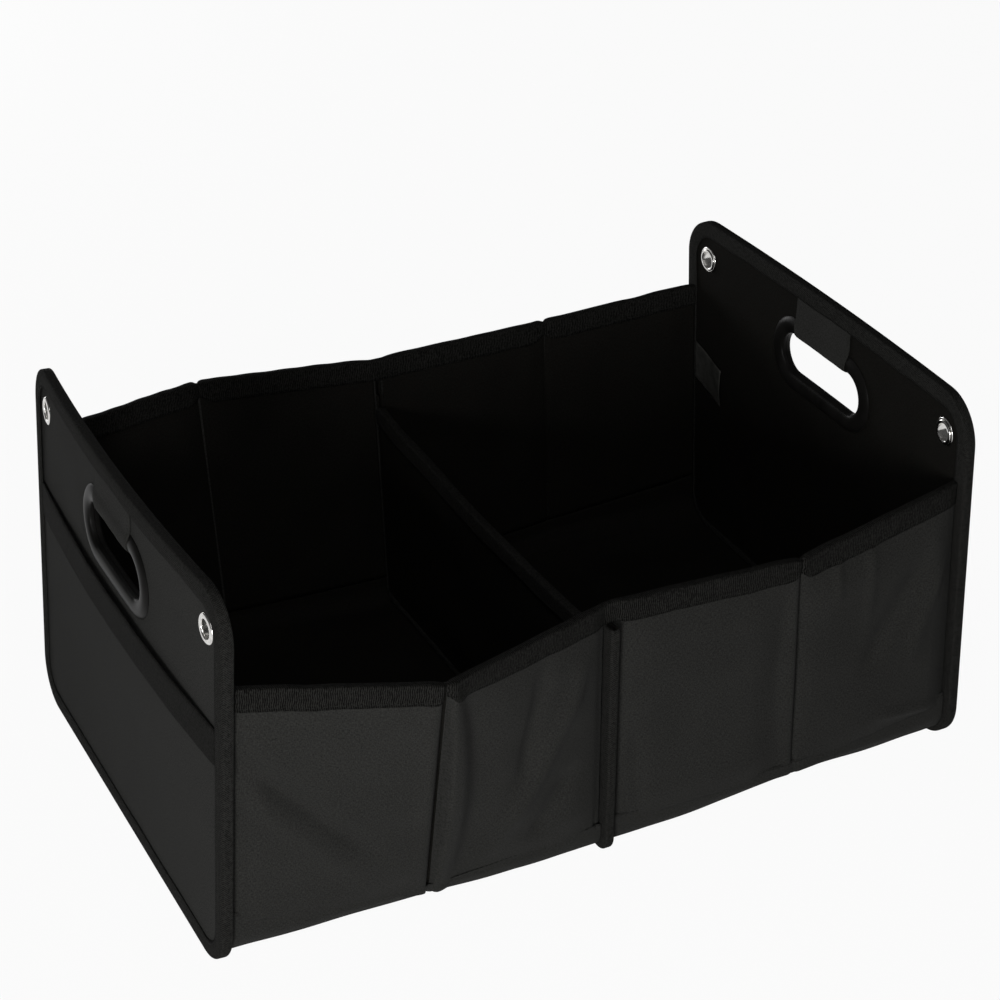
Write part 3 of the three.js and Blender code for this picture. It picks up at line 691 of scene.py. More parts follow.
def pocket_tape(end):
    """Tape folded over the pocket's mouth, wide outside and narrow inside."""
    y = np.linspace(-(DEPTH / 2 - BINDING_WIDTH), DEPTH / 2 - BINDING_WIDTH, 120)
    low = POCKET_TOP - POCKET_TAPE_WIDTH
    profile = [(z, 0.0) for z in np.linspace(low, POCKET_TOP - 0.7, 8)]
    profile += [(POCKET_TOP, 0.9), (POCKET_TOP - 0.3, 2.0), (POCKET_TOP - 5.0, 2.3)]
    rows = []
    for z, back in profile:
        height = np.full_like(y, z) + 0.25 * unevenness(y, 0 * y, 5, 70.0)
        rows.append(np.stack([pocket_tape_depth(y, height) + back, y, height], 1))
    grid = place_end(end, np.array(rows))
    inside = place_end(end, np.array([PANEL_THICKNESS, 0.0, low]))
    obj = grid_object(f"{end}_pocket_mouth_tape", grid, grid_threads(grid), away_from=inside)
    flat = (profile_run(profile)[-1] * MM, (DEPTH - 2 * BINDING_WIDTH) * MM)
    sheet(obj, f"{end}_pocket_tape", "webbing", TAPE_CROSS, TAPE * 0.7,
          flat=flat, held="folded", rests_on=[f"{end}_pocket_cloth"])


# Grip rings
RING_SECTION = (
    (0.0, -1.2), (0.05, 0.2), (0.4, 1.0), (1.2, 1.7), (2.6, 2.3), (4.4, 2.7), (6.2, RING_DOME), (8.0, 2.65),
    (9.6, 2.2), (11.0, 1.5), (12.0, 0.8), (RING_FLANGE, 0.25), (RING_FLANGE, 0.0),
    (RING_COLLAR, 0.0), (RING_COLLAR, -1.2),
)


def grip_path(outset, steps=28, straight_steps=14):
    radius = GRIP_HEIGHT / 2 + outset
    straight = (GRIP_WIDTH - GRIP_HEIGHT) / 2
    path = []
    for side, start in ((1, -90), (-1, 90)):
        for k in range(steps + 1):
            turn = math.radians(start + 180 * k / steps)
            path.append((side * straight + radius * math.cos(turn), GRIP_CENTRE + radius * math.sin(turn)))
        z = path[-1][1]
        for k in range(1, straight_steps):
            path.append((mix(side * straight, -side * straight, k / straight_steps), z))
    return np.array(path)


def grip_ring(end, where):
    """A moulded ring: a domed flange outside the hole, and a collar that lines it."""
    outer = where == "outer"
    face = COVER_FACE - GAP if outer else PANEL_INNER_FACE + GAP
    way = -1.0 if outer else 1.0
    middle = (COVER_FACE + PANEL_INNER_FACE) / 2
    rows = []
    for outset, rise in RING_SECTION + RING_SECTION[:1]:
        path = grip_path(outset)
        depth = face + way * rise if rise >= 0 else middle + way * GAP / 2
        rows.append(at_depth(path, depth))
    grid = place_end(end, np.array(rows))
    core = place_end(end, np.array([face + way * 1.0, 0.0, GRIP_CENTRE + GRIP_HEIGHT / 2 + RING_FLANGE / 2]))
    threads = grid_threads(grid, closing=True)
    obj = grid_object(f"{end}_grip_ring_{where}", grid, threads, away_from=core, around=True)
    recalculate_outside(obj)
    settle(obj, [f"{end}_handle_ring_{where}"], PLASTIC)
    soften(obj, 40)


def recalculate_outside(obj):
    made = bmesh.new()
    made.from_mesh(obj.data)
    bmesh.ops.remove_doubles(made, verts=made.verts, dist=1e-6)
    bmesh.ops.recalc_face_normals(made, faces=made.faces)
    made.to_mesh(obj.data)
    made.free()


def soften(obj, angle):
    """Smooth shading apart from edges sharper than an angle."""
    obj.data.set_sharp_from_angle(angle=math.radians(angle))


def grip_wrap(end):
    """Cloth from under the top binding down over the ring, through the hole and up the inner face."""
    top = GRIP_CENTRE + GRIP_HEIGHT / 2
    ring_top = top + RING_FLANGE
    outer, inner = COVER_FACE - GAP, PANEL_INNER_FACE + GAP
    rise = RING_DOME + GAP + 0.5
    flank = (
        (0.6, HEIGHT - BINDING_WIDTH / 2), (0.9, ring_top + 6.0), (1.6, ring_top + 1.0),
        (rise - 0.4, ring_top - 3.0), (rise, top + RING_FLANGE * 0.55), (rise, top + 3.0),
        (rise - 0.5, top + 0.6), (0.6, top - 0.7), (-1.0, top - 1.1),
    )
    path = [(outer - away, height) for away, height in flank]
    path += [(inner + away, height) for away, height in reversed(flank)]
    path = np.array(path)
    run = arc_lengths(path)
    fine = np.linspace(0, run[-1], 110)
    w = np.interp(fine, run, path[:, 0])
    z = np.interp(fine, run, path[:, 1])
    kernel = np.array([1.0, 2.0, 3.0, 2.0, 1.0]) / 9.0
    w[2:-2] = np.convolve(w, kernel, "valid")
    z[2:-2] = np.convolve(z, kernel, "valid")
    y = spaced(-WRAP_WIDTH / 2, WRAP_WIDTH / 2, 36, 0.7)
    middle = (outer + inner) / 2
    width_share = np.abs(y) / (WRAP_WIDTH / 2)
    tuck = smooth((width_share - 0.9) / 0.1) * 0.45
    swell = 0.18 * unevenness(fine[:, None], y[None, :], 9, 30.0)
    way = np.sign(w - middle)[:, None]
    depth = w[:, None] + way * (swell - tuck[None, :])
    pinch = 1.0 - 0.05 * bell(z[:, None] - top, 9.0)
    height = np.broadcast_to(z[:, None], depth.shape)
    grid = place_end(end, np.stack([depth, y[None, :] * pinch, height], -1))
    core = place_end(end, np.array([middle, 0.0, ring_top]))
    obj = grid_object(f"{end}_grip_wrap", grid, grid_threads(grid), away_from=core)
    sheet(obj, f"{end}_handle_wrap", "cloth", CLOTH, FABRIC * 0.6,
          flat=(WRAP_WIDTH * MM, run[-1] * MM), held="folded", rests_on=[f"{end}_grip_ring_outer"])


# Eyelets and washers
def turned(name, end, side, profile, node):
    """A turned ring round an eyelet hole, from pairs of radius and depth."""
    count = 56
    turns = np.arange(count) * math.tau / count
    rows = []
    for radius, depth in list(profile) + [profile[0]]:
        y = side * EYELET_SPREAD + radius * np.cos(turns)
        z = EYELET_HEIGHT + radius * np.sin(turns)
        rows.append(np.stack([np.full(count, depth), y, z], 1))
    grid = place_end(end, np.array(rows))
    threads = grid_threads(grid, closing=True)
    obj = grid_object(name, grid, threads, away_from=(0.0, 0.0, HEIGHT / 2), around=True)
    recalculate_outside(obj)
    settle(obj, [node], NICKEL)
    soften(obj, 50)


def eyelets(end):
    front = -1 if end == "left" else 1
    seat = COVER_FACE - GAP
    back = PANEL_INNER_FACE + GAP + WASHER
    inner = PANEL_INNER_FACE + GAP
    dome = [
        (EYELET_BORE, seat + 1.0), (EYELET_BORE, seat - 0.35), (6.45, seat - 0.8), (6.9, seat - 1.1),
        (7.6, seat - EYELET_DOME), (8.4, seat - 1.12), (9.2, seat - 0.85), (9.75, seat - 0.5),
        (EYELET_FLANGE, seat - 0.15), (EYELET_FLANGE, seat), (EYELET_BARREL, seat),
        (EYELET_BARREL, back + GAP), (8.3, back + GAP), (EYELET_CURL, back + GAP + 0.2),
        (8.2, back + GAP + 0.6), (7.6, back + GAP + 0.8), (6.9, back + GAP + 0.7),
        (EYELET_BORE, back + GAP + 0.3),
    ]
    ring = [
        (EYELET_BARREL + GAP, inner), (EYELET_FLANGE, inner), (EYELET_FLANGE, inner + 0.25),
        (9.7, inner + 0.6), (9.1, inner + WASHER), (EYELET_BARREL + GAP, inner + WASHER),
    ]
    for place, side in (("front", front), ("rear", -front)):
        turned(f"{end}_eyelet_{place}_turned", end, side, dome, f"{end}_eyelet_{place}")
        turned(f"{end}_washer_{place}_turned", end, side, ring, f"{end}_washer_{place}")


def care_label():
    """A bare satin tab sewn under the binding of the right end, with a slack free end."""
    root = -(DEPTH / 2 - BINDING_WIDTH + 1.0)
    s = np.linspace(0, 1, 26)[:, None]
    t = np.linspace(0, 1, 18)[None, :]
    y = root + LABEL_LENGTH * s + 0 * t
    z = LABEL_TOP - LABEL_DROOP * s - LABEL_HEIGHT * t
    curl = 2.6 * smooth(s) ** 1.5 + 1.0 * np.sin(math.pi * t) * s
    depth = PANEL_INNER_FACE + GAP + LABEL_THICKNESS + curl
    grid = place_end("right", np.stack(np.broadcast_arrays(depth, y, z), -1))
    obj = grid_object("care_label_tab", grid, grid_threads(grid), towards=(0.0, grid[..., 1].mean(), 140.0))
    sheet(obj, "care_label", "label", LABEL, LABEL_THICKNESS * 0.6,
          flat=(LABEL_LENGTH * MM, LABEL_HEIGHT * MM), held="hung", rests_on=["right_binding_tape"])


# Gusset: walls and base as one ruled surface over both halves
def half_length():
    return LENGTH / 2 - PANEL_THICKNESS - DIVIDER_THICKNESS / 2 - 2 * GAP


def crease_station(half):
    return LENGTH / 2 - PANEL_THICKNESS - GAP - HALVES[half]["crease"]


def across(half, station, values):
    crease = crease_station(half)
    first = mix(values[0], values[1], station / crease)
    second = mix(values[1], values[2], (station - crease) / (half_length() - crease))
    return np.where(station <= crease, first, second)


def station_x(half, station, z):
    at_end = LENGTH / 2 - PANEL_THICKNESS - GAP - z * HALVES[half]["lean"] / HEIGHT
    crease = crease_station(half)
    at_crease, at_divider = HALVES[half]["crease"], DIVIDER_THICKNESS / 2 + GAP
    first = mix(at_end, at_crease, station / crease)
    second = mix(at_crease, at_divider, (station - crease) / (half_length() - crease))
    return HALVES[half]["side"] * np.where(station <= crease, first, second)


def fold_radius(station):
    return mix(CORNER - GUSSET_INSET, DIVIDER_CORNER - GUSSET_INSET, station / half_length())


def foot_height(station):
    return BASE_INSET + fold_radius(station)


def hem_height(half, station):
    return foot_height(station) + across(half, station, HALVES[half]["hem"])


def top_height(half, wall, station):
    return across(half, station, WALL_TOP[wall, half])


def skin_point(half, wall, station, z, layer):
    """A point of the gusset at a height, on the wall above its foot and round the fold below it."""
    foot = foot_height(station)
    radius = fold_radius(station)
    rise = (z - foot) / (top_height(half, wall, station) - foot)
    foot_bulge = across(half, station, FOOT_BULGE)
    bulge = mix(foot_bulge, across(half, station, TOP_BULGE[wall, half]), np.maximum(rise, 0))
    drop = np.clip((foot - z) / radius, 0.0, 1.0)
    turn = np.arcsin(drop)
    y = DEPTH / 2 - GUSSET_INSET + bulge - radius * (1 - np.cos(turn)) - layer * np.cos(turn)
    height = np.where(z >= foot, z, z + layer * np.sin(turn))
    x = station_x(half, station, z)
    return np.stack(np.broadcast_arrays(x, FACING[wall] * y, height), -1)


# How the cloth of each wall departs from the ruled surface, outward in millimetres
WALL_FOLDS = {
    ("front", "left"): (
        ((-262.0, 170.0), (-160.0, 56.0), -5.6, 6.5, 0.0),
        ((-272.0, 156.0), (-176.0, 46.0), 3.0, 7.0, 0.0),
        ((-264.0, 188.0), (-196.0, 120.0), 2.2, 9.0, 0.0),
        ((-14.0, 184.0), (-98.0, 30.0), 5.2, 8.0, -6.0),
        ((-52.0, 190.0), (-72.0, 82.0), -5.2, 7.0, 0.0),
        ((-24.0, 90.0), (-64.0, 32.0), -5.0, 8.0, 0.0),
    ),
    ("front", "right"): (
        ((260.0, 164.0), (228.0, 78.0), 3.4, 6.0, 3.0),
        ((248.0, 176.0), (186.0, 80.0), -4.4, 8.0, 0.0),
        ((196.0, 198.0), (193.0, 120.0), 2.2, 4.5, 0.0),
        ((169.0, 192.0), (166.0, 146.0), 2.0, 3.5, 0.0),
        ((266.0, 38.0), (198.0, 49.0), 3.4, 5.0, 0.0),
        ((24.0, 20.0), (18.0, 104.0), -2.4, 5.0, 0.0),
    ),
    ("rear", "left"): (
        ((-240.0, 160.0), (-160.0, 70.0), 2.8, 9.0, 0.0),
        ((-30.0, 170.0), (-95.0, 60.0), -3.0, 9.0, 4.0),
    ),
    ("rear", "right"): (
        ((246.0, 165.0), (190.0, 60.0), 2.8, 10.0, 3.0),
        ((40.0, 160.0), (90.0, 70.0), -2.8, 10.0, 0.0),
    ),
}
CREASE_SHAPE = {
    ("front", "left"): {"depth": 5.0, "width": 3.0, "puff": 11.5, "reach": 18.5},
    ("front", "right"): {"depth": 3.0, "width": 2.0, "puff": 4.0, "reach": 11.0},
    ("rear", "left"): {"depth": 3.8, "width": 2.6, "puff": 5.0, "reach": 17.0},
    ("rear", "right"): {"depth": 3.0, "width": 2.0, "puff": 3.0, "reach": 12.0},
}
FIELD_HEIGHT, FIELD_SWELL, FIELD_LENGTH = 5.0, 0.9, 75.0
FADE_AT_END, FADE_AT_DIVIDER, FADE_PAST_PUFF, FADE_AT_CREASE = 20.0, 28.0, 30.0, 22.0
PINCH_AT_END, PINCH_AT_DIVIDER = 1.6, 3.0
GATHER_PITCH, GATHER_HEIGHT = 5.5, 0.8
SLACK_INWARD = -0.2
SEEDS = {("front", "left"): 3, ("front", "right"): 4, ("rear", "left"): 5, ("rear", "right"): 6}


def wall_relief(half, wall, station, z):
    """Outward departure of a wall's outer cloth."""
    top = top_height(half, wall, station)
    foot = foot_height(station)
    share = np.clip((z - foot) / (top - foot), 0, 1)
    x = station_x(half, station, z)
    shape = CREASE_SHAPE[wall, half]
    beyond = station - crease_station(half)
    to_divider = half_length() - station
    past_puff = smooth((beyond - shape["reach"]) / FADE_PAST_PUFF)
    beside = np.where(beyond > 0, past_puff, smooth(-beyond / FADE_AT_CREASE))
    field = smooth(station / FADE_AT_END) * smooth(to_divider / FADE_AT_DIVIDER) * beside
    tall = smooth((top - 10.0 - z) / 28.0) * smooth((z - foot + 6.0) / 30.0)
    swell = FIELD_SWELL * unevenness(x, z, SEEDS[wall, half], FIELD_LENGTH)
    relief = field * tall * (FIELD_HEIGHT + swell)
    for start, end, height, width, bend in WALL_FOLDS[wall, half]:
        fold = soft_fold(x, z, start, end, height, width, bend)
        relief = relief + fold * smooth((top - 6.0 - z) / 12.0)
    over_board = (np.abs(beyond) > BOARD_MARGIN) & (station > BOARD_MARGIN) & (to_divider > BOARD_MARGIN)
    relief = np.where(over_board, np.maximum(relief, SLACK_INWARD), relief)
    reach = shape["reach"] * (0.45 + 0.65 * np.sin(math.pi * np.clip(0.1 + 0.9 * share, 0, 1)))
    puff = shape["puff"] * np.sin(math.pi * np.clip(0.06 + 0.9 * share, 0, 1)) ** 0.9
    lifted = smooth(beyond / 6.0) * (1 - smooth((beyond - reach * 0.52) / reach))
    relief = relief + puff * lifted
    relief = relief + 0.45 * puff * bell(beyond + 8.0, 7.0)
    narrow = 0.6 + 0.6 * np.sin(math.pi * share)
    relief = relief - shape["depth"] * bell(beyond, shape["width"] * narrow)
    relief = relief - PINCH_AT_END * bell(station, 4.0) - PINCH_AT_DIVIDER * bell(to_divider, 5.5)
    gathers = np.sin(to_divider * math.tau / GATHER_PITCH) * bell(to_divider - 4.0, 7.0)
    return relief + GATHER_HEIGHT * gathers * bell(z - foot, 11.0)


def lining_relief(half, wall, station, z):
    """Inward departure of a wall's lining."""
    crease = crease_station(half)
    top = top_height(half, wall, station)
    foot = foot_height(station)
    x = station_x(half, station, z)
    beyond = np.abs(station - crease)
    field = smooth(station / 26.0) * smooth((half_length() - station) / 26.0) * smooth(beyond / 18.0)
    tall = smooth((top - 8.0 - z) / 24.0) * smooth((z - foot + 4.0) / 24.0)
    swell = field * tall * (1.3 + 0.6 * unevenness(x, z, 20 + SEEDS[wall, half], 70.0))
    return np.maximum(swell, 0.0) - 0.9 * bell(station - crease, 2.0)


def half_stations(half, count):
    crease = crease_station(half)
    first = spaced(0.0, crease, count)
    second = spaced(crease, half_length(), count)
    return np.concatenate([first, second[1:]])


def wall_cloth(half, wall, face):
    """The outer cloth or the lining of a wall."""
    cover = face == "cover"
    columns, rows = (74, 76) if cover else (44, 44)
    station = half_stations(half, columns)[:, None]
    low = hem_height(half, station) + (-HEM_LAP if cover else 0.5)
    high = top_height(half, wall, station) - EDGE_INSET
    z = mix(low, high, np.linspace(0, 1, rows)[None, :])
    grid = skin_point(half, wall, station, z, 0.0 if cover else WALL_THICKNESS)
    threads = thread_grid(station, z)
    if cover:
        grid[..., 1] += FACING[wall] * wall_relief(half, wall, station, z)
        obj = grid_object(f"{half}_{wall}_cloth", grid, threads, away_from=WALL_CENTRE)
    else:
        grid[..., 1] -= FACING[wall] * lining_relief(half, wall, station, z)
        obj = grid_object(f"{half}_{wall}_lining_cloth", grid, threads, towards=WALL_CENTRE)
    mean_top = sum(WALL_TOP[wall, half]) / 3
    boards = [f"{half}_{wall}_board_end", f"{half}_{wall}_board_middle"]
    sheet(obj, f"{half}_{wall}_{face}", *LOOKS[face], FABRIC, held="stretched", rests_on=boards,
          flat=(half_length() * WALL_SLANT * MM, (mean_top - WALL_LOW[face]) * MM))


def base_rows(half, station, layer, arc_steps, flat_steps):
    """Rows of points from the front hem, under the base and up to the rear hem."""
    foot, radius = foot_height(station), fold_radius(station)
    rim = hem_height(half, station)
    rows = []
    for wall in ("front", "rear"):
        side = []
        for k in range(RIM_STEPS):
            side.append(skin_point(half, wall, station, mix(rim, foot, k / RIM_STEPS), layer))
        for k in range(arc_steps + 1):
            z = foot - radius * np.sin(math.pi / 2 * k / arc_steps)
            side.append(skin_point(half, wall, station, z, layer))
        rows.append(side)
    front, rear = rows[0], rows[1][::-1]
    middle = [mix(front[-1], rear[0], k / flat_steps) for k in range(1, flat_steps)]
    grid = np.stack(front + middle + rear, 1)
    lift, tuck = base_edge_shift(half, station)
    below = smooth((foot[:, None] - grid[..., 2]) / (0.6 * radius[:, None]))
    outside = np.abs(grid[..., 1])
    near_edge = smooth((outside - BASE_BOARD_REACH) / 12.0)
    grid[..., 2] += lift[:, None] * below * near_edge
    grid[..., 1] -= np.sign(grid[..., 1]) * tuck[:, None] * below * near_edge
    return grid


def base_edge_shift(half, station):
    """Lift and tuck of the base's edge, strongest on the round of the fold."""
    stations, lifts = BASE_LIFT[half]
    lift = np.interp(station, stations, lifts)
    lift = np.convolve(np.pad(lift, 4, mode="edge"), np.ones(9) / 9, "valid")
    tuck = BASE_TUCK[half] * bell(station - crease_station(half), 55.0)
    return lift, tuck


def settle_base(obj, half, over, face, held):
    """Gives a half's base cloth or lining its thickness and its finish."""
    boards = [f"{half}_base_board_end", f"{half}_base_board_middle"]
    sheet(obj, f"{half}_base_{face}", *LOOKS[face], FABRIC, held=held, rests_on=boards,
          flat=(half_length() * MM, over.mean(0)[-1] * MM))


def base_cover(half):
    station = half_stations(half, 60)
    arc_steps, flat_steps = 12, 40
    grid = base_rows(half, station, 0.0, arc_steps, flat_steps)
    normal = grid - base_rows(half, station, 1.0, arc_steps, flat_steps)
    rows = grid.shape[1]
    position = np.arange(rows)
    from_rim = np.minimum(position, rows - 1 - position)[None, :]
    proud = np.where(from_rim == 0, HEM_OVERLAP - 0.35, HEM_OVERLAP)
    to_divider = half_length() - station
    fold = -1.6 * bell(station - crease_station(half), 2.4)[:, None]
    under = smooth((from_rim - RIM_STEPS - arc_steps) / 4.0)
    swell = 0.5 * unevenness(grid[..., 0], grid[..., 1], 41 + len(half), 80.0)
    swell = swell * smooth(station / 25.0)[:, None]
    swell = swell * smooth(to_divider / 25.0)[:, None]
    gathers = np.sin(to_divider * math.tau / 5.0) * bell(to_divider - 4.0, 7.0)
    near_hem = bell(from_rim, 4.0)
    out = proud + fold * (1 - 0.5 * under) + np.maximum(swell, -0.3) + 0.7 * gathers[:, None] * near_hem
    grid = grid + normal * out[..., None]
    over = arc_lengths(grid)
    obj = grid_object(f"{half}_base_cloth", grid, thread_grid(station[:, None], over), away_from=WALL_CENTRE)
    settle_base(obj, half, over, "cover", "stretched")
    return grid


def base_lining(half):
    station = half_stations(half, 36)
    grid = base_rows(half, station, WALL_THICKNESS, 8, 30)
    towards_inside = base_rows(half, station, WALL_THICKNESS + 1.0, 8, 30) - grid
    field = smooth(station / 24.0) * smooth((half_length() - station) / 24.0)
    field = field * smooth(np.abs(station - crease_station(half)) / 16.0)
    swell = 0.9 + 0.5 * unevenness(grid[..., 0], grid[..., 1], 51 + len(half), 80.0)
    grid = grid + towards_inside * (field[:, None] * np.maximum(swell, 0))[..., None]
    over = arc_lengths(grid)
    threads = thread_grid(station[:, None], over)
    obj = grid_object(f"{half}_base_lining_cloth", grid, threads, towards=WALL_CENTRE)
    settle_base(obj, half, over, "lining", "laid")


def hem_seams(half, grid):
    """Stitches just below the hem's folded edge, front and rear."""
    runs = []
    for near, far, under in ((0, 1, 2), (-1, -2, -3)):
        line = mix(grid[:, near], grid[:, far], 0.75)
        out = np.zeros_like(line)
        out[:, 1] = -1.0 if near == 0 else 1.0
        runs.append((line + out * 0.1, out))
    stitching(f"{half}_hem_stitching", runs)


def top_tape(wall):
    """Tape folded over a wall's top edge from the left end to the right one, pinched at the creases."""
    thickness = WALL_THICKNESS + 2 * EDGE_INSET
    profile = folded_profile(TOP_TAPE_WIDTH, thickness, 1.7, 5, 0.2)
    columns = []
    for half in ("left", "right"):
        stations = half_stations(half, 76)[::-HALVES[half]["side"]]
        top = top_height(half, wall, stations)
        beyond = stations - crease_station(half)
        pinch = bell(beyond, 3.0)
        narrow = 1 - 0.3 * bell(beyond - 1.5, 5.0)
        wave = 0.35 * unevenness(stations, 0 * stations, 61 + len(wall) + len(half), 45.0)
        column = []
        for drop, depth in profile:
            share = depth / thickness
            z = top - drop * narrow + wave - 1.2 * pinch * (1 - drop / TOP_TAPE_WIDTH)
            point = skin_point(half, wall, stations, z, depth - EDGE_INSET)
            outer = wall_relief(half, wall, stations, z)
            inner = -lining_relief(half, wall, stations, z)
            fall = smooth(drop / TOP_TAPE_WIDTH) * 0.35 + 0.65
            waver = 0.15 * unevenness(stations, drop + 0 * stations, 71, 25.0)
            relief = mix(outer, inner, smooth(share)) * fall + waver * (1 - 2 * share)
            point[..., 1] += FACING[wall] * relief
            column.append(point)
        columns.append(np.array(column))
    grid = np.concatenate(columns, 1)
    covers = [f"left_{wall}_cloth", f"right_{wall}_cloth"]
    run = arc_lengths(grid[len(profile) // 2])
    core = np.array([0.0, FACING[wall] * (DEPTH / 2 - GUSSET_INSET), WALL_CORE])
    folded_tape(f"{wall}_edge_tape", f"{wall}_top_tape", grid, profile, run, core, TAPE_CROSS, covers, True)
    runs = []
    for row, beside, way in ((1, 0, FACING[wall]), (-2, -1, -FACING[wall])):
        line = mix(grid[row], grid[beside], 0.35)
        runs.append((line, np.full_like(line, 0.0) + np.array([0.0, way, 0.0])))
    stitching(f"{wall}_edge_stitching", runs)


def folded_tape(name, node, grid, profile, run, core, material, rests_on, turn):
    """A strip of tape folded lengthwise over an edge."""
    over = profile_run(profile)
    obj = grid_object(name, grid, thread_grid(run, over[:, None]), away_from=core)
    if turn:
        orient_tape(obj, grid)
    sheet(obj, node, "webbing", material, TAPE,
          flat=(over[-1] * MM, run[-1] * MM), held="folded", rests_on=rests_on)


def orient_tape(obj, grid):
    """Turns the faces so that the strip's normals point away from the edge that it is folded over."""
    mesh = obj.data
    core = (grid[2] + grid[-3]) / 2
    middle = np.array([f.center for f in mesh.polygons]) / MM
    normals = np.array([f.normal for f in mesh.polygons])
    columns = grid.shape[1] - 1
    index = np.arange(len(middle)) % columns
    if ((middle - core[index]) * normals).sum() < 0:
        mesh.flip_normals()


# Divider
def divider_edge(wall, z, inset):
    top = WALL_TOP[wall, "left"][2]
    rise = np.maximum(0, (z - DIVIDER_CORNER) / (top - DIVIDER_CORNER))
    return FACING[wall] * (DEPTH / 2 + DIVIDER_SPREAD * rise - inset)


def sag_height(y):
    return DIVIDER_MIDDLE + DIVIDER_SAG * (y / (DEPTH / 2)) ** 2


def rib_top(wall):
    return WALL_TOP[wall, "left"][2] - TOP_TAPE_WIDTH - GAP


def divider_path(inset, corner_steps=12, side_steps=44, base_steps=60):
    """Points from the front rib's top, down and under the divider to the rear rib's top."""
    reach = DEPTH / 2 - RIB_CORNER
    radius = RIB_CORNER - inset
    path = []
    for z in np.linspace(rib_top("front"), RIB_CORNER, side_steps)[:-1]:
        path.append((divider_edge("front", z, inset), z))
    for k in range(corner_steps + 1):
        turn = math.radians(180 + 90 * k / corner_steps)
        path.append((-reach + radius * math.cos(turn), RIB_CORNER + radius * math.sin(turn)))
    for k in range(1, base_steps):
        path.append((mix(-reach, reach, k / base_steps), inset))
    for k in range(corner_steps + 1):
        turn = math.radians(-90 + 90 * k / corner_steps)
        path.append((reach + radius * math.cos(turn), RIB_CORNER + radius * math.sin(turn)))
    for z in np.linspace(RIB_CORNER, rib_top("rear"), side_steps)[1:]:
        path.append((divider_edge("rear", z, inset), z))
    return np.array(path)


def divider_place(points):
    points = np.asarray(points, float).copy()
    points[..., 0] -= DIVIDER_THICKNESS / 2
    return points


def divider_stitching(name, grid):
    """Stitches along both flanks of a tape on the divider."""
    runs = []
    for row, way in ((1, -1.0), (-2, 1.0)):
        out = np.zeros_like(grid[row]) + np.array([way, 0.0, 0.0])
        runs.append((grid[row] + SEAM_RISE * out, out))
    stitching(name, runs)


def divider_binding():
    profile = folded_profile(BINDING_WIDTH, DIVIDER_THICKNESS, 1.5, 5, 0.35)
    base = divider_path(0.0)
    run = arc_lengths(base)
    waver = 0.4 * unevenness(run, 0 * run, 81, 55.0)
    lean = 0.8 * unevenness(run, 0 * run, 83, 160.0) * smooth((base[:, 1] - 20.0) / 40.0)
    rows = []
    for inset, depth in profile:
        path = divider_path(inset)
        path = path + (path - base) / BINDING_WIDTH * waver[:, None]
        rows.append(np.concatenate([(depth + lean)[:, None], path], 1))
    grid = divider_place(np.array(rows))
    folded_tape("divider_binding_tape", "divider_binding", grid, profile, run, (0.0, 0.0, 90.0),
                TAPE_TWILL, ["divider_board"], False)
    divider_stitching("divider_binding_stitching", grid)


def divider_distance(y, z):
    reach = DEPTH / 2 + DIVIDER_SPREAD * np.clip((z - DIVIDER_CORNER) / DIVIDER_RISE, 0, 1) - EDGE_INSET
    half_width = DEPTH / 2 - EDGE_INSET
    outline = rounded_distance(
        y * half_width / reach, z, half_width, EDGE_INSET, BEYOND_TOP, DIVIDER_CORNER - EDGE_INSET)
    side = np.abs(y) - (reach - BINDING_WIDTH)
    ribs = np.where(y < 0, rib_top("front"), rib_top("rear"))
    over = np.where(side < 0, z - (sag_height(y) - EDGE_INSET), z - ribs)
    return np.maximum(outline, over)


def divider_cover(side):
    y, z, faces = fitted_plate(
        DEPTH / 2 + DIVIDER_SPREAD, EDGE_INSET, DIVIDER_PLATE_TOP, PANEL_STEP, divider_distance)
    face, way = (DIVIDER_COVER, -1.0) if side == "left" else (DIVIDER_FAR_COVER + FABRIC, 1.0)
    middle = smooth((DEPTH / 2 - 20.0 - np.abs(y)) / 30.0) * smooth((z - 14.0) / 26.0)
    middle = middle * smooth((sag_height(y) - 14.0 - z) / 18.0)
    relief = middle * np.maximum(0.9 + 0.7 * unevenness(y, z, 91 + len(side), 90.0), 0)
    points = np.stack([face + way * relief - DIVIDER_THICKNESS / 2, y, z], -1)
    obj = plate_object(f"divider_{side}_cloth", points, y, z, faces, way)
    flat = ((DEPTH + DIVIDER_SPREAD) * MM, (DIVIDER_MIDDLE + DIVIDER_SAG) * MM)
    sheet(obj, f"divider_cover_{side}", *LOOKS["lining"], FABRIC, flat=flat, held="stretched",
          rests_on=["divider_board"])


def divider_top_tape():
    low = DIVIDER_MIDDLE - DIVIDER_TAPE_WIDTH
    front = divider_edge("front", low, BINDING_WIDTH + GAP)
    rear = divider_edge("rear", low, BINDING_WIDTH + GAP)
    profile = folded_profile(DIVIDER_TAPE_WIDTH, DIVIDER_THICKNESS, 1.6, 5, 0.25)
    y = np.linspace(front, rear, 150)
    waver = 0.3 * unevenness(y, 0 * y, 101, 50.0)
    sway = 1.0 * unevenness(y, 0 * y, 103, 170.0) * smooth((rear - np.abs(y)) / 60.0)
    rows = []
    for drop, depth in profile:
        z = sag_height(y) - drop - waver * drop / DIVIDER_TAPE_WIDTH
        rows.append(np.stack([depth + sway, y, z], 1))
    grid = divider_place(np.array(rows))
    run = arc_lengths(grid[0])
    folded_tape("divider_edge_tape", "divider_top_tape", grid, profile, run, (0.0, 0.0, 100.0),
                TAPE_CROSS, ["divider_left_cloth"], True)
    divider_stitching("divider_edge_stitching", grid)


# Boards keep their solids and get a finish
def finish_boards():
    for name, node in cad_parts.items():
        if "board" in name:
            node.data.materials.clear()
            node.data.materials.append(BOARD)


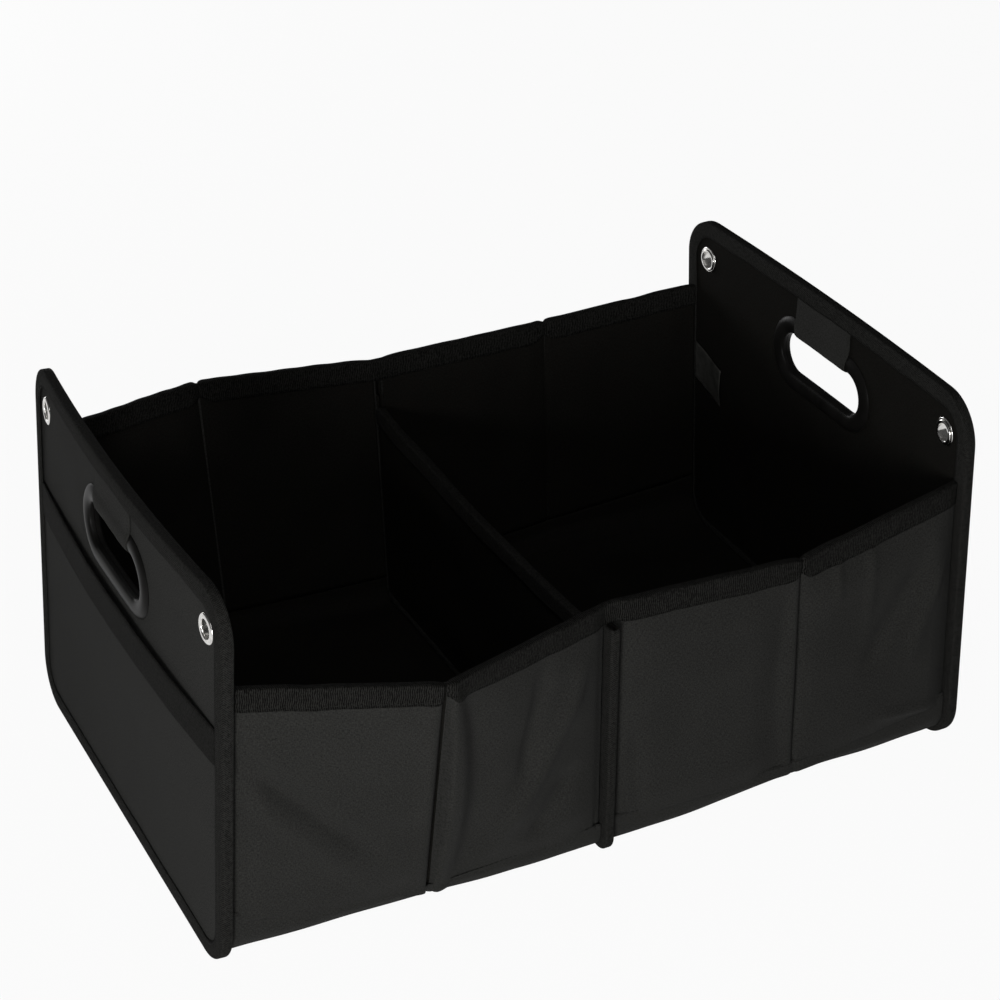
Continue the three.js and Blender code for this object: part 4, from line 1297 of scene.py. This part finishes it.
# Stage, lights and camera
PALE = (0.5, 0.5, 0.5, 1.0)
WHITE = (1.0, 1.0, 1.0, 1.0)
FLOOR_SIZE = 6.0
AMBIENT = 0.08
LIGHTS = {
    "key": {"place": (-0.88, -1.25, 0.30), "size": 0.4, "watts": 14.0},
    "fill": {"place": (-0.6, -1.45, 1.5), "size": 0.9, "watts": 8.5},
    "rear": {"place": (-0.28, 1.9, 0.4), "size": 0.6, "watts": 8.0},
}
LIGHTS_AIM = (0.0, 0.0, 0.1)
CAMERA_PLACE = (-0.647523, -1.397278, 1.057475)
CAMERA_YAW, CAMERA_PITCH, CAMERA_ROLL = 0.44121, -0.51837, -0.02346
CAMERA_LENS, SENSOR = 92.83, 36.0


def stage_material(name, whiteness):
    """White where the camera or a reflection sees it, with part of the object's shadow kept."""
    material = bpy.data.materials.new(name)
    material.use_nodes = True
    tree = material.node_tree
    tree.nodes.clear()
    ray = add_node(tree, "LightPath").outputs
    seen = add_node(tree, "Math", {0: ray["Is Camera Ray"], 1: ray["Is Glossy Ray"]}, operation="MAXIMUM")
    seen = add_node(tree, "Math", {0: seen.outputs[0], 1: ray["Is Transmission Ray"]}, operation="MAXIMUM")
    white = add_node(tree, "Math", {0: seen.outputs[0], 1: whiteness}, operation="MULTIPLY")
    diffuse = add_node(tree, "BsdfDiffuse", {"Color": PALE})
    glow = add_node(tree, "Emission", {"Color": WHITE, "Strength": 1.0})
    blend = add_node(tree, "MixShader", {0: white.outputs[0], 1: diffuse.outputs[0], 2: glow.outputs[0]})
    add_node(tree, "OutputMaterial", {0: blend.outputs[0]})
    return material


def build_stage():
    corners = [(x * FLOOR_SIZE, y * FLOOR_SIZE, 0) for x, y in ((-1, -1), (1, -1), (1, 1), (-1, 1))]
    floor = bpy.data.meshes.new("floor")
    floor.from_pydata(corners, [], [(0, 1, 2, 3)])
    floor.materials.append(stage_material("pale_floor", 0.95))
    obj = bpy.data.objects.new("floor", floor)
    bpy.context.scene.collection.objects.link(obj)
    world = bpy.data.worlds.new("studio")
    bpy.context.scene.world = world
    world.use_nodes = True
    tree = world.node_tree
    tree.nodes.clear()
    ray = add_node(tree, "LightPath").outputs
    seen = add_node(tree, "Background", {"Color": WHITE, "Strength": 1.0})
    light = add_node(tree, "Background", {"Color": WHITE, "Strength": AMBIENT})
    blend = add_node(tree, "MixShader", {0: ray["Is Camera Ray"], 1: light.outputs[0], 2: seen.outputs[0]})
    add_node(tree, "OutputWorld", {0: blend.outputs[0]})


def build_lights():
    for name, spec in LIGHTS.items():
        lamp = bpy.data.lights.new(name, "AREA")
        lamp.shape = "SQUARE"
        lamp.size = spec["size"]
        lamp.energy = spec["watts"]
        obj = bpy.data.objects.new(name, lamp)
        place, aim = Vector(spec["place"]), Vector(LIGHTS_AIM)
        obj.location = place
        obj.rotation_euler = (place - aim).to_track_quat("Z", "Y").to_euler()
        bpy.context.scene.collection.objects.link(obj)


def build_camera():
    forward = Vector((
        math.sin(CAMERA_YAW) * math.cos(CAMERA_PITCH),
        math.cos(CAMERA_YAW) * math.cos(CAMERA_PITCH),
        math.sin(CAMERA_PITCH),
    ))
    level = Vector((math.cos(CAMERA_YAW), -math.sin(CAMERA_YAW), 0.0))
    upright = level.cross(forward)
    right = level * math.cos(CAMERA_ROLL) + upright * math.sin(CAMERA_ROLL)
    up = upright * math.cos(CAMERA_ROLL) - level * math.sin(CAMERA_ROLL)
    data = bpy.data.cameras.new("camera")
    data.lens = CAMERA_LENS
    data.sensor_width = SENSOR
    data.sensor_fit = "HORIZONTAL"
    data.clip_start, data.clip_end = 0.05, 30.0
    camera = bpy.data.objects.new("camera", data)
    turn = Matrix((right, up, -forward)).transposed().to_4x4()
    camera.matrix_world = Matrix.Translation(CAMERA_PLACE) @ turn
    bpy.context.scene.collection.objects.link(camera)
    bpy.context.scene.camera = camera
    bpy.context.scene.view_settings.view_transform = "Standard"


build_camera()
build_lights()
build_stage()
for end_index, end_name in enumerate(("left", "right")):
    panel_binding(end_name)
    panel_cloth(end_name, "outer", 11 + end_index)
    panel_cloth(end_name, "inner", 13 + end_index)
    pocket(end_name)
    pocket_tape(end_name)
    for face_name in ("outer", "inner"):
        grip_ring(end_name, face_name)
    grip_wrap(end_name)
    eyelets(end_name)
    panel_seams(end_name)
    for wall_name in ("front", "rear"):
        for face_name in ("cover", "lining"):
            wall_cloth(end_name, wall_name, face_name)
    hem_seams(end_name, base_cover(end_name))
    base_lining(end_name)
for wall_name in ("front", "rear"):
    top_tape(wall_name)
divider_binding()
for side_name in ("left", "right"):
    divider_cover(side_name)
divider_top_tape()
care_label()
finish_boards()
